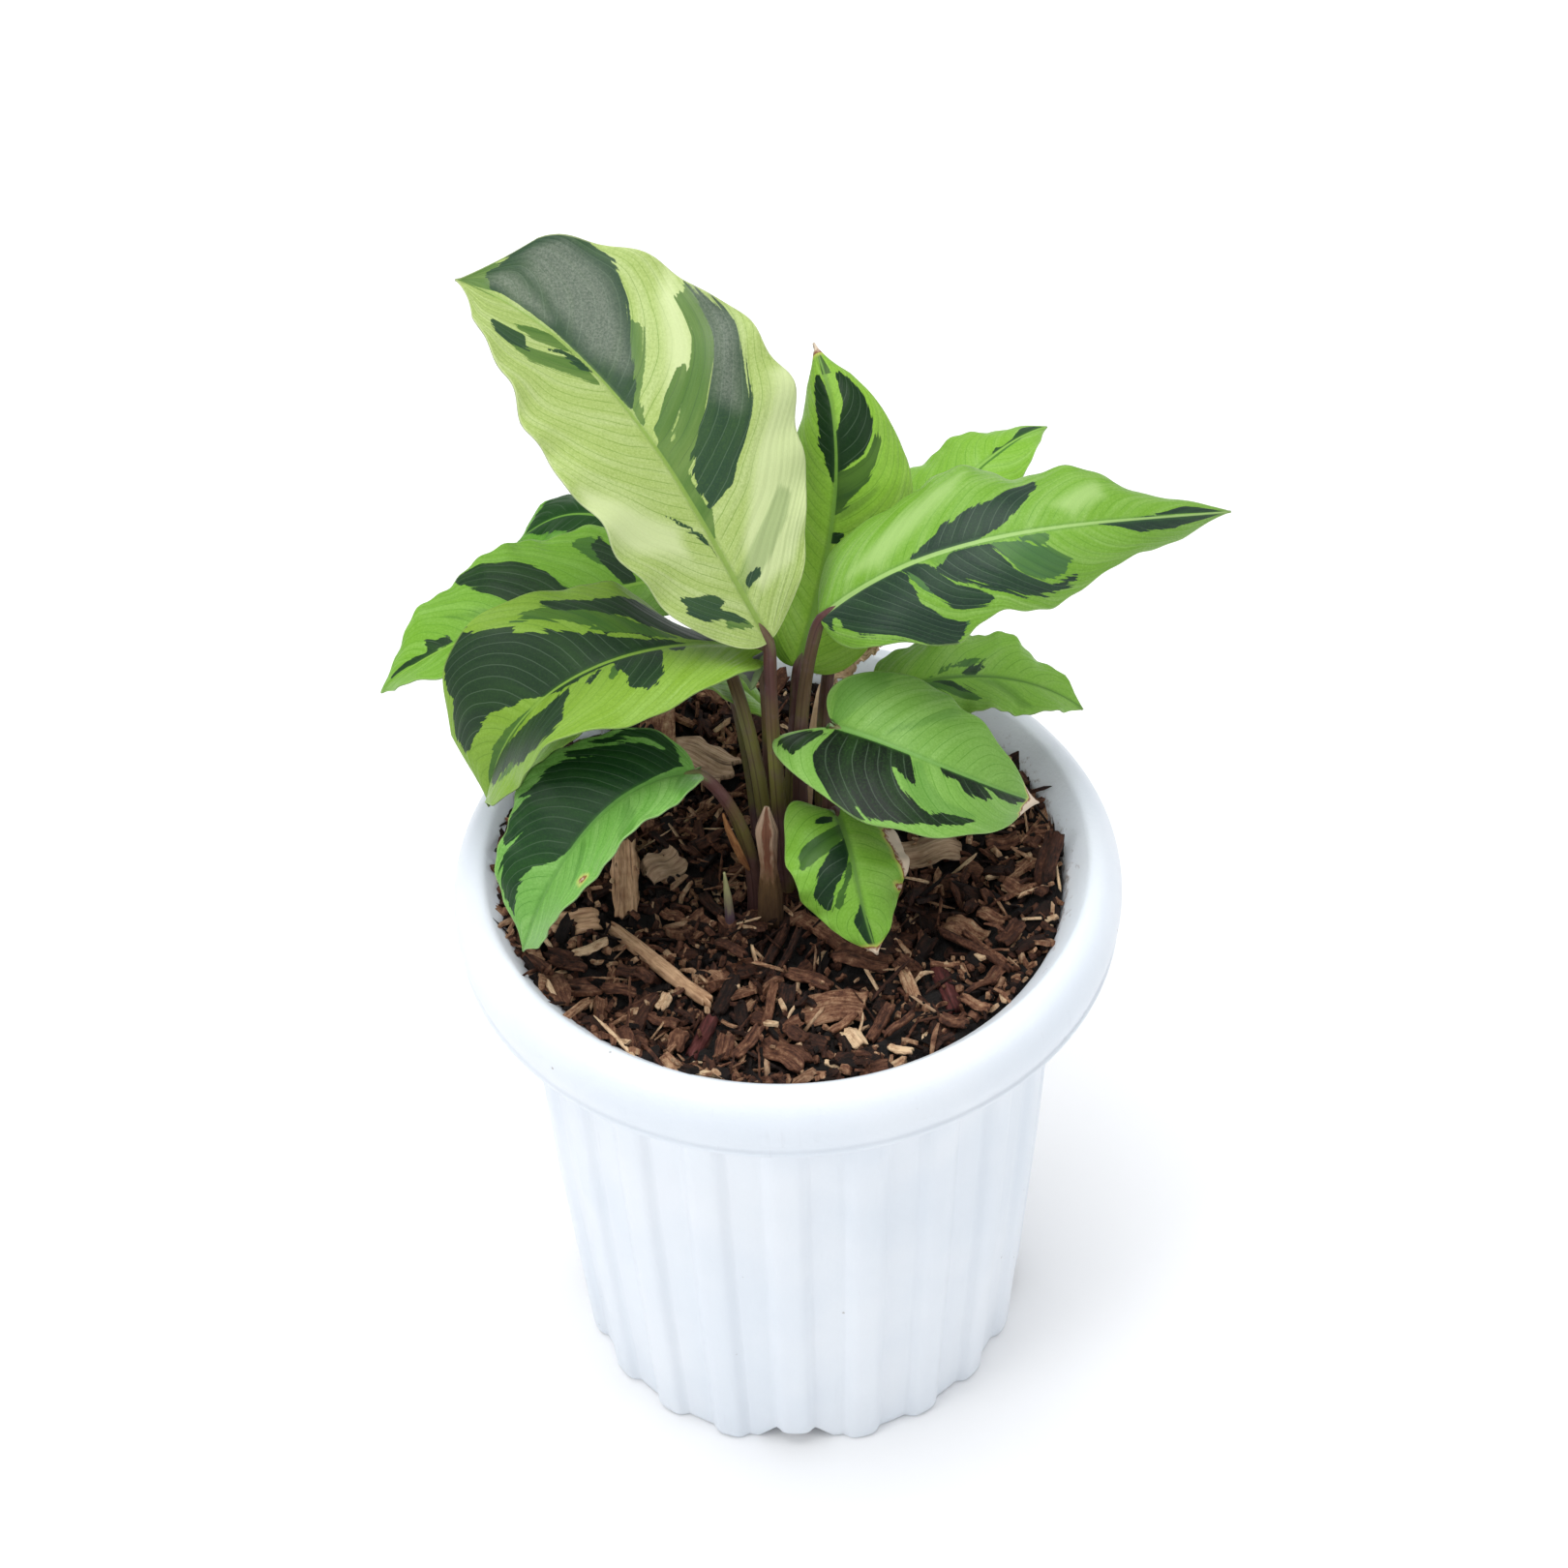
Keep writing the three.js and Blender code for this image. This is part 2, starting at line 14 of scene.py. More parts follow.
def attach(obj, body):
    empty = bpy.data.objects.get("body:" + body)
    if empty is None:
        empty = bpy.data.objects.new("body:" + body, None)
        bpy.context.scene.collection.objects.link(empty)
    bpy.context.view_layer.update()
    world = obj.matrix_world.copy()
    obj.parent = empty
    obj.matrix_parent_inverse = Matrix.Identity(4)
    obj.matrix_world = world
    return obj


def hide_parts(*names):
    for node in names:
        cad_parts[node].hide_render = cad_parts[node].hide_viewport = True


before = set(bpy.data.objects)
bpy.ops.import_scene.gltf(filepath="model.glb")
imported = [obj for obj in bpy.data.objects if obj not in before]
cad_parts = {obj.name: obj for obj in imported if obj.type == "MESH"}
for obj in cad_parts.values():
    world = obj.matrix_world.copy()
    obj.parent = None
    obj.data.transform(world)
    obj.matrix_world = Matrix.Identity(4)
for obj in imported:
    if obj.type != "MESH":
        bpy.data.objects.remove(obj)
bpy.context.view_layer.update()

MM = 0.001

# Leaves

LEAVES = {
    "leaf_tall": dict(midrib=[(-2, 7, 207), (-18, 23, 234), (-38, 45, 253), (-67, 66, 262)], half=(27, 33),
        outline=(.75, .75), lift=(3, 28, 10, 35), droop=5, lobe=(2, 1), wave=(1.8, 2.4, .33, .1),
        stalk=[(.5, -4), (-1, 1, 154), (-2, 5, 181)]),
    "leaf_upright": dict(midrib=[(4, 23, 184), (11, 36, 204), (14, 47, 226), (10, 67, 240)],
        half=(16, 19.5), outline=(.55, .85), lift=(3, -7, 12, 2), droop=35, lobe=(2, 2.5),
        wave=(1.6, 3.2, 0, .6), stalk=[(0, 1), (1, 10, 148), (2.5, 18, 166)]),
    "leaf_right_big": dict(midrib=[(9, 17, 204), (36, 15, 224), (67, 20, 226), (100, 38, 212)],
        half=(23, 18), outline=(.55, 1.05), lift=(21, 38, 11, -46), droop=30, lobe=(4, 2),
        wave=(2.4, 3.2, 0, .85), stalk=[(4.5, .5), (3.5, 7, 153), (4.5, 13, 179)]),
    "leaf_back_right": dict(midrib=[(15, 42, 187), (32, 53, 198), (48, 67, 204), (63, 84, 199)],
        half=(14.5, 11.5), outline=(.55, .9), lift=(12, 14, 12, 5), droop=20, lobe=(2, 2),
        wave=(1.5, 3.2, 0, .5), stalk=[(8.5, 7), (8.5, 16, 150), (10, 29, 169)]),
    "leaf_low_right": dict(midrib=[(20, 31, 166), (35, 28, 174), (52, 28, 173), (68, 29, 162)],
        half=(14, 11.5), outline=(.55, .75), lift=(19, 18, 13, 10), droop=13, lobe=(2.5, 2),
        wave=(1.6, 3.6, -.1, .25), stalk=[(12, 4.5), (13.5, 9, 143), (17, 19, 155)]),
    "leaf_heart": dict(midrib=[(11, 4, 184), (25, -6, 186), (41, -9, 179), (56, -1, 163)], half=(19, 20.5),
        outline=(.8, 1.25), lift=(27, 26, 12, -8), droop=11, lobe=(8.5, 13.5), wave=(1.6, 1.5, .1, .2),
        stalk=[(8.5, -2.5), (9, -1, 146), (10, 2, 166)]),
    "leaf_front": dict(midrib=[(11, -6, 168), (14, -18, 166), (16, -26, 159), (19, -32, 149)],
        half=(13.5, 14), outline=(.5, .9), lift=(5, 10, 25, -4), droop=24, lobe=(1.5, 7.5),
        wave=(1.6, 2.4, .1, .2), stalk=[(5.5, -6), (7, -6, 142), (9, -5, 157)]),
    "leaf_left_big": dict(midrib=[(-4, 15, 198), (-30, 5, 207), (-53, 1, 196), (-65, -1, 168)],
        half=(21.5, 27.5), outline=(.7, .65), lift=(9, 31, -25, 52), droop=10, lobe=(2, 0),
        wave=(3, 2.3, .9, .55), stalk=[(-5, 3.5), (-3.5, 9, 152), (-3, 12.5, 177)]),
    "leaf_left_low": dict(midrib=[(-19, -5, 180), (-36, -18, 185), (-49, -27, 174), (-58, -31, 153)],
        half=(15.5, 18), outline=(.65, .7), lift=(18, 29, 26, 14), droop=0, lobe=(1, 3.5),
        wave=(1.2, 3.1, 0, .8), stalk=[(-8.5, -5), (-7.5, -5, 147), (-11, -4.5, 166)]),
    "leaf_left_back": dict(midrib=[(-21, 46, 192), (-44, 37, 194), (-70, 28, 191), (-89, 27, 177)],
        half=(16.5, 22), outline=(.6, 1), lift=(17, 27, 10, 16), droop=9, lobe=(2, 1.5),
        wave=(1.4, 3.5, .3, .55), stalk=[(-4.5, -1.5), (-4.5, 3, 155), (-9, 15, 182)]),
    "leaf_back_left": dict(midrib=[(-20, 62, 180), (-32, 64, 190), (-45, 70, 190), (-59, 70, 182)],
        half=(13, 13.5), outline=(.55, .75), lift=(12, 5, 12, 15), droop=20, lobe=(2, 2),
        wave=(2.1, 3.1, 0, .55), stalk=[(-6, 10), (-7, 22, 150), (-12, 42, 167)]),
    "leaf_low_left": dict(midrib=[(-2.5, 25, 167), (-18, 25, 182.7), (-38, 24, 179.6), (-59, 19, 154.7)],
        half=(10.5, 13), outline=(.55, .8), lift=(29, 12, 12, 5), droop=14, lobe=(2, 2),
        wave=(1.7, 3, .25, .5), stalk=[(-1, 6), (-1, 13, 143), (-1.5, 20, 155)]),
    "leaf_dry": dict(midrib=[(10, 43, 160), (14, 43, 164), (19, 45, 167), (24, 47, 168)], half=(5, 5),
        outline=(.55, .8), lift=(40, 55, 35, 60), droop=25, lobe=(0, 0), wave=(1.4, 3, 0, .5),
        stalk=[(4, 6), (4.5, 14, 144), (6.5, 28, 154)]),
}

# Colours of each leaf: ground, pale streaks, mid green, dark patches, veins, midrib (0-255)
TONES = {
    "leaf_tall": [(162, 182, 104), (196, 208, 154), (82, 116, 50), (40, 66, 44), (104, 134, 50),
        (128, 156, 70)],
    "leaf_upright": [(132, 178, 56), (158, 196, 90), (48, 80, 32), (14, 44, 14), (88, 132, 34),
        (110, 152, 60)],
    "leaf_right_big": [(114, 160, 52), (156, 188, 112), (68, 108, 58), (32, 52, 40), (84, 134, 38),
        (156, 190, 112)],
    "leaf_back_right": [(126, 176, 54), (158, 196, 110), (70, 120, 40), (30, 62, 32), (92, 148, 36),
        (140, 186, 80)],
    "leaf_low_right": [(126, 175, 64), (148, 184, 98), (62, 108, 38), (26, 54, 30), (84, 134, 38),
        (84, 126, 50)],
    "leaf_heart": [(115, 160, 70), (146, 186, 104), (68, 118, 46), (8, 22, 10), (80, 134, 38),
        (112, 158, 78)],
    "leaf_front": [(121, 171, 58), (146, 184, 92), (52, 90, 34), (20, 46, 24), (82, 134, 34),
        (98, 138, 60)],
    "leaf_left_big": [(122, 158, 48), (146, 180, 84), (62, 102, 36), (26, 50, 28), (92, 132, 36),
        (126, 162, 62)],
    "leaf_left_low": [(112, 167, 75), (150, 194, 114), (58, 112, 34), (18, 54, 22), (68, 128, 38),
        (98, 148, 68)],
    "leaf_left_back": [(114, 164, 48), (150, 194, 98), (64, 110, 36), (22, 50, 22), (84, 138, 32),
        (136, 180, 70)],
    "leaf_back_left": [(94, 150, 44), (126, 176, 80), (50, 98, 34), (16, 58, 8), (68, 126, 30),
        (108, 156, 58)],
    "leaf_low_left": [(122, 172, 52), (156, 194, 90), (64, 106, 36), (32, 54, 34), (88, 138, 34),
        (126, 170, 66)],
}

# Patches of each leaf: a kind, then the corners of its outline in hundredths, along the midrib from the
# base (0 to 100) and across it (-100 left margin, 100 right margin)
# The sheen patches mark a painted sheen: grey painted into the leaf's colour where light glances off it.
PATCHES = {
    "leaf_tall": """
    dark 30 10 32 35 38 55 44 70 50 83 58 93 68 103 62 88 55 70 50 55 45 35 41 20 37 10
    dark 54.5 2 58 12 62 25 68 45 74 68 80 92 86 110 93 105 93.5 85 95 60 94 30 93 10 85 5 75 2 62 0
    dark 12 10 12.8 30 14.3 34 14.2 20 13.2 10
    dark 6.2 -26 8 -42 10 -60 13 -78 16 -83 18.7 -75 17 -55 15 -40 12.2 -33 12.2 -50 10 -36
    dark 18 -5 25 -8 28.5 -15 31.5 -25 34 -36 30.5 -27 27 -16 24 -9
    dark 65.5 -3 68 -12 72 -17 74 -29 75.5 -30 73.5 -12 70 -3
    dark 76.5 -50 80 -38 83 -50 86.5 -63 87.2 -73 83 -76 80 -66
    mid 22 0 29 10 38 10 46 40 55 72 67 100 66.5 84 60 68 55 50 50 30 45 12 47 0
    mid 44 3 48 20 53 42 56 48 56.5 42 53.5 25 49 6
    mid 49 0 55 10 60 25 66 50 70 50 66 30 60 5
    mid 91 10 94.5 110 100 110 100 2
    mid 5 -22 6 -50 9 -66 11.5 -55 8 -30
    mid 62.5 -5 66 -20 70 -40 74 -58 78 -66 81 -62 76 -40 72 -20 71 -5
    mid 71 -3 74 -15 78 -30 83 -40 85 -50 81 -15 77.5 -3
    mid 90 0 93 -8 96 -14 98 0
    soft 11 3 13 30 16 55 20 76 24 82 26.5 72 22 50 18 25 15 3
    soft 56 0 58 8 63 12 68 15 75 12 73 2
    soft 36 3 40 14 46 35 52 52 50 30 44 5
    sheen 62 18 72 45 80 72 86 90 90 80 88 45 80 22 70 10
    sheen 80 10 88 30 93 50 93 25 88 10
    sheen 44 60 50 76 58 90 66 98 55 70 48 55
    pale 14 15 22 30 30 50 38 72 46 92 46 110 20 110 12 80 10 30
    pale 48 30 56 55 66 86 72 105 68 75 60 45 52 22
    pale 30 -30 36 -55 46 -90 40 -110 30 -80 24 -40
    """,
    "leaf_right_big": """
    dark 0 25 3 66 4.5 33 6 60 10 77 15 86 20 96 28 105 34 88 29 70 25.5 50 24 15 22 3 10 -2 0 -2
    dark 22 2 27 20 28.5 45 30 55 34 74 41 85 42 76 39 62 34 45 31 25 29 10 26 2
    dark 31 20 33.5 35 38.5 50 43 68 50 82 63 83 63 73 56 70 52 62 48.5 45 47 30 44 6 35 4
    dark 64 0 70 5 74 15 77 30 80 33 86 45 88 35 95 40 100 10 100 -2
    dark 24 -2 30 -15 36 -27 42 -38 47 -45 53 -60 56 -66 58.8 -74 58 -60 55 -40 51 -20 45 -7 40 0 30 0
    dark 68 0 80 -5 85 -15 88 -30 92 -42 96 -45 100 -10
    mid 23 5 26 35 28.5 50 29 40 27 20 28 5
    mid 44 5 47 35 50 55 55 67 60 63 62 50 58 30 52 13
    mid 49 5 55 20 57.5 20 57.5 5
    mid 28 92 25 82 29 74 35 90
    soft 30 5 32 18 38 20 45 20 46 5
    soft 14 3 17 12 22 18 24 5
    soft 34 -8 42 -25 50 -45 47 -40 38 -20
    pale 10 -25 20 -45 32 -72 42 -85 38 -60 27 -30 18 -12
    pale 60 -30 66 -50 72 -70 72 -40 64 -15
    """,
    "leaf_left_big": """
    dark 0 2 12 50 20 75 26 82 33 76 42 76 50 82 56 87 53 75 45 66 35 50 26 30 19 10
    dark 20 3 30 20 42 32 52 50 62 70 70 90 72 105 80 100 82 90 83 80 89 87 90.5 60 88.5 48 85 40 80 33
       74 20 68 10 62 0 58 -10 50 -10 42 -6 35 0
    dark 27.5 0 28 -20 30 -50 32 -65 34 -67 37 -60 38.5 -50 38.5 -35 40 -20 41 -8 38 0
    dark 44 -10 46 -20 48 -30 50 -25 48 -14 45.5 -9
    dark 20 0 22 -13 25 -14 26 -4
    dark 54.5 -18 55 -50 56 -70 59 -83 63 -88 70 -80 77 -71 74.5 -60 80 -60 87 -64 89 -40 90.5 -10 90 3
       85 0 80 -15 70 -22 60 -25
    mid 19 10 27 33 36 50 46 68 56 81 64 79 57 65 48 45 40 30 30 18
    mid 66 0 75 6 85 12 93 10 95 0 90 -10 75 -18
    mid 38.5 -10 41 -35 42.5 -30 42 -12
    mid 72 -60 76 -72 84 -68 86 -60
    soft 20 2 30 10 42 12 50 5 40 -3 30 0
    light 42 40 50 55 60 71 63 68 55 52 48 38
    light 26 12 36 26 42 30 34 20
    """,
    "leaf_heart": """
    dark 2 50 3 85 6 93 13 90 12 75 9 60 5 38
    dark 2 8 6 30 10 50 15 70 22 87 28 97 33 105 37 98 31 87 40 93 50 88 60 82 67 77 60 70 50 70 45 60
       41 50 35 28 39 32 43 44 45 40 42 20 38.5 0 20 0 5 0
    dark 51 0 54 12 57 16 60 12 62 25 66 33 71 40 73.5 28 72 15 69 0
    dark 68 0 75 13 78 28 84 35 87 44 87 28 93 34 93 15 91 0
    dead 88 120 89.5 60 93 20 94 -20 92.5 -60 91 -120 103 -120 103 120
    soft 35 20 42 45 46 62 52 72 62 74 67 67 55 50 48 30 44 5
    soft 0 -10 8 -35 20 -70 22 -100 10 -100 0 -60
    soft 25 -10 38 -35 50 -62 58 -90 50 -80 40 -55 30 -30
    """,
    "leaf_left_low": """
    dead 58.5 -82 59.5 -73 61.5 -75 61 -85
    dark 4 30 5 70 8 92 15 100 22 96 29 92 25 85 14 78 10 68 18 72 25 80 36 90 36.5 86 30 72 29 67 34 78
       42 85 50 87 56.5 93 53 82 62 97 70 99 71.5 90 64 78 59 62 66 78 74 87 80 88 85 94 88 85 91 65
       86 58 80 50 72 35 67 22 66 15 62 5 55 -1 40 0 30 1 20 3 10 12
    soft 12 22 20 48 28 66 27 55 17 30
    soft 30 -10 36 -35 42 -70 45 -100 38 -100 33 -60
    soft 8 -10 12 -40 18 -70 20 -100 10 -100 5 -50
    soft 52 -10 60 -40 64 -70 60 -60 53 -30
    soft 66 3 80 8 90 8 90 2
    """,
    "leaf_left_back": """
    dark 16 3 16 40 19 65 20.5 80 23.5 65 23 45 20 3
    dark 33 2 37 25 38 42 41 60 44 70 50 82 57 98 62 97 60 75 57 60 54 40 50 25 45 2
    dark 69 3 70 18 74 25 77 34 77 22 78 8
    dark 71 0 80 13 86 25 93 30 93 15 85 7 82 0
    dark 35 -2 40 -30 46 -60 52 -62 50 -30 47 -2
    mid 20 30 22 80 26 85 28 75 24 40
    soft 52 10 60 30 70 60 68 45 60 15
    """,
    "leaf_upright": """
    dark 60 3 62 20 65 40 70 57 76 66 82 71 87 71 90 55 90 30 83 25 78 15 72 3
    dark 52 0 60 -10 65 -20 70 -30 77 -39 76 -35 82 -42 88 -47 91 -40 90.5 -20 87 -8 80 0
    dark 38 0 39 10 42 14 42 0
    mid 46 0 52 20 56 35 62 50 68 64 73 64 65 40 62 20 60 0
    mid 90 -10 90 25 100 20 100 -10
    dead 96.5 -120 97 120 103 120 103 -120
    soft 2 -50 10 -90 15 -100 0 -100
    soft 45 5 50 30 56 50 50 10
    """,
    "leaf_back_right": """
    dark 58 0 70 -4 74 -12 76 -5 82 -10 87 -30 90 -50 95 -62 99 -20 98 0 85 6 70 3
    dark 10 10 16 40 24 70 28 60 24 30 18 5
    mid 50 0 62 10 72 12 85 10 85 0
    """,
    "leaf_low_right": """
    dark 30 4 34 15 40 33 46 47 50 60 49 45 45 30 39 10 34 2
    dark 42 0 46 -10 51 -20 56.5 -30 54 -15 50 -1
    mid 25 3 33 30 42 60 50 80 52 70 46 40 40 10
    mid 28 -3 40 -15 50 -25 57 -33 45 -30 33 -15
    soft 50 10 60 40 70 80 74 80 68 40 60 10
    """,
    "leaf_front": """
    dark 7 18 8 40 12 53 12.7 40 10 20
    dark 20 0 28 27 36 45 44 60 55 73 66 78 67.5 65 62 50 50 30 40 12 30 0
    dark 60 0 70 10 77 30 85 33 92 36 97 20 99 0 95 -10 85 -8 70 -1
    mid 10 0 15 25 20 50 25 73 29 78 38.5 79 36 65 32 50 28 30 20 2
    mid 33 0 50 25 62 50 67.5 52 66.5 40 58 25 48 7
    dead 17 -86 20 -70 24 -66 32 -73 42 -73 50 -82 57 -94 58 -130 17 -130
    dead 58 -74 62 -79 66 -90 68 -130 60 -130 60 -86
    dead 93 120 94 30 95.5 -30 94 -120 103 -120 103 120
    """,
    "leaf_back_left": """
    dark 25 -30 50 -45 70 -55 90 -50 96 0 94 40 90 60 86 75 82 105 50 105 35 50
    soft 30 -40 55 -60 85 -62 95 -30 60 -30
    """,
    "leaf_low_left": """
    dark 30 0 40 30 50 60 58 62 52 30 46 0
    dark 50 0 56 -30 62 -55 68 -50 66 -20 62 0
    mid 62 0 70 30 80 60 82 40 76 0
    """,
}

PATCH_KINDS = ("dark", "mid", "soft", "light", "dead", "sheen", "pale")
BLADE_HALF_THICKNESS = .2
LOBE_SPAN = .08
SCALLOP = {"leaf_tall": (.85, 6.3, .25, .6), "leaf_right_big": (.5, 4.6, .1, .9),
        "leaf_left_back": (.5, 5.2, .4, .2)}
TIP_START, TIP_POWER = .9, 1.3
STALK_FOOT_Z = 128


def read_patches(text):
    """Kind and corners of every outline in a leaf's patch text."""
    patches = []
    for word in text.split():
        if word.isalpha():
            patches.append((word, []))
        else:
            patches[-1][1].append(float(word) / 100)
    return [(kind, list(zip(marks[::2], marks[1::2]))) for kind, marks in patches]


def curve_at(points, t):
    """Smooth curve through four evenly spaced points."""
    t = np.asarray(t, float)
    a, b = 1 / 3, 2 / 3
    weights = [-4.5 * (t - a) * (t - b) * (t - 1), 13.5 * t * (t - b) * (t - 1), -13.5 * t * (t - a)
            * (t - 1), 4.5 * t * (t - a) * (t - b)]
    return sum(w[..., None] * np.array(p, float) for w, p in zip(weights, points))


def unit(v):
    return v / np.maximum(np.linalg.norm(v, axis=-1, keepdims=True), 1e-9)


def curve_direction(points, t):
    return unit(curve_at(points, t + 1e-3) - curve_at(points, t - 1e-3))


def blade_share(leaf, t):
    b, c = leaf["outline"]
    peak = b / (b + c)
    t = np.clip(t, 0, 1)
    body = np.minimum(t, TIP_START)
    share = body ** b * (1 - body) ** c / (peak ** b * (1 - peak) ** c)
    return share * ((1 - t) / (1 - body)) ** max(c, TIP_POWER)


def blade_surface(leaf, t, s, frill=0.0):
    """Points of the blade for arrays of t (along the midrib) and s (across), in millimetres."""
    midrib = leaf["midrib"]
    along = curve_direction(midrib, t)
    reach = np.array(midrib[3], float) - np.array(midrib[0], float)
    across = np.broadcast_to(np.array([reach[1], -reach[0], 0.0]), along.shape)
    across = unit(across - along * np.sum(across * along, -1, keepdims=True))
    face = np.cross(across, along)
    right = s >= 0
    out = np.abs(s)
    half = np.where(right, leaf["half"][1], leaf["half"][0])
    end_half = .8 * (1 - t) ** 2 + .12
    depth, count, phase_left, phase_right = leaf.get("scallop", (0, 1, 0, 0))
    nick = depth * np.sin(2 * np.pi * (count * t + np.where(right, phase_right, phase_left)))
    half = half + nick * np.clip(t * 8, 0, 1)
    reach_out = out * np.maximum(half * blade_share(leaf, t), end_half)
    l0, l1, r0, r1 = leaf["lift"]
    lift = np.where(right, r0 + (r1 - r0) * t, l0 + (l1 - l0) * t)
    angle = np.radians(lift - leaf["droop"] * out)
    height, count, start_left, start_right = leaf["wave"]
    start = np.where(right, start_right, start_left)
    swell = np.sqrt(np.clip(np.sin(np.pi * t), 0, 1))
    ripple = height * out ** 2 * swell * np.sin(2 * np.pi * (count * t + start))
    ripple = ripple + frill * out ** 4 * swell * np.sin(2 * np.pi * (count * 3.7 * t + start * 2 + .3))
    lobe = np.where(right, leaf["lobe"][1], leaf["lobe"][0])
    back = lobe * (t / LOBE_SPAN) * np.exp(1 - t / LOBE_SPAN) * out ** 2
    sideways = np.where(right, 1, -1) * reach_out * np.cos(angle)
    upward = reach_out * np.sin(angle) + ripple
    return (curve_at(midrib, t) + across * sideways[..., None] + face * upward[..., None] - along
            * back[..., None])


def inside_distance(x, y, outline):
    """Distance to a closed outline, positive inside."""
    best = np.full(x.shape, 1e9)
    inside = np.zeros(x.shape, bool)
    count = len(outline)
    for i in range(count):
        (ax, ay), (bx, by) = outline[i], outline[(i + 1) % count]
        dx, dy = bx - ax, by - ay
        along = np.clip(((x - ax) * dx + (y - ay) * dy) / max(dx * dx + dy * dy, 1e-12), 0, 1)
        best = np.minimum(best, np.hypot(x - ax - along * dx, y - ay - along * dy))
        if ay != by:
            crosses = ((ay > y) != (by > y)) & (x < (bx - ax) * (y - ay) / (by - ay) + ax)
            inside ^= crosses
    return np.where(inside, best, -best)


def make_object(name, points, faces, material=None, smooth=True):
    mesh = bpy.data.meshes.new(name)
    mesh.from_pydata((np.asarray(points, float) * MM).tolist(), [], faces)
    mesh.validate()
    mesh.update()
    if smooth:
        mesh.shade_smooth()
    if material:
        mesh.materials.append(material)
    piece = bpy.data.objects.new(name, mesh)
    bpy.context.scene.collection.objects.link(piece)
    return piece


def set_values(mesh, name, values):
    attribute = mesh.attributes.new(name, "FLOAT", "POINT")
    attribute.data.foreach_set("value", np.asarray(values, np.float32).ravel())


def set_vectors(mesh, name, values):
    attribute = mesh.attributes.new(name, "FLOAT_VECTOR", "POINT")
    attribute.data.foreach_set("vector", np.asarray(values, np.float32).ravel())


def ring_points(radius, angle, z):
    return np.stack([radius * np.cos(angle), radius * np.sin(angle), z + 0 * angle], -1)


def grid_faces(rows, columns, start=0, flip=False, close=False):
    faces = []
    for i in range(rows - 1):
        for j in range(columns if close else columns - 1):
            k = (j + 1) % columns
            quad = (start + i * columns + j, start + i * columns + k, start + (i + 1) * columns + k, start
                    + (i + 1) * columns + j)
            faces.append(quad[::-1] if flip else quad)
    return faces


def sheet_faces(rows, columns):
    """Closed sheet: an upper grid, a lower grid after it, and the four edges between them."""
    total = rows * columns
    faces = grid_faces(rows, columns) + grid_faces(rows, columns, total, flip=True)
    for i in range(rows - 1):
        left, right = i * columns, i * columns + columns - 1
        faces.append((left, left + columns, total + left + columns, total + left))
        faces.append((right + columns, right, total + right, total + right + columns))
    for j in range(columns - 1):
        far = (rows - 1) * columns + j
        faces.append((j + 1, j, total + j, total + j + 1))
        faces.append((far, far + 1, total + far + 1, total + far))
    return faces


def tube_faces(rings, sides, start=0):
    """Tube of rings with both ends closed."""
    last = start + (rings - 1) * sides
    ends = [tuple(start + j for j in range(sides))[::-1], tuple(last + j for j in range(sides))]
    return grid_faces(rings, sides, start, close=True) + ends


def tube_points(path, radii, sides, flat=1.0, ridges=0.0, ridge_count=7):
    """Rings round a path; flat squeezes the ring, ridges adds lengthwise ribs."""
    path = np.asarray(path, float)
    across = np.array([1.0, 0, 0])
    rings = []
    for i, point in enumerate(path):
        along = unit(path[min(i + 1, len(path) - 1)] - path[max(i - 1, 0)])
        across = unit(across - along * np.dot(across, along))
        other = np.cross(along, across)
        angle = np.linspace(0, 2 * np.pi, sides, endpoint=False)
        radius = radii[i] * (1 + ridges * np.cos(ridge_count * angle + .4 * i / len(path)))
        wide, deep = radius * np.cos(angle), radius * flat * np.sin(angle)
        rings.append(point + np.outer(wide, across) + np.outer(deep, other))
    return np.concatenate(rings)


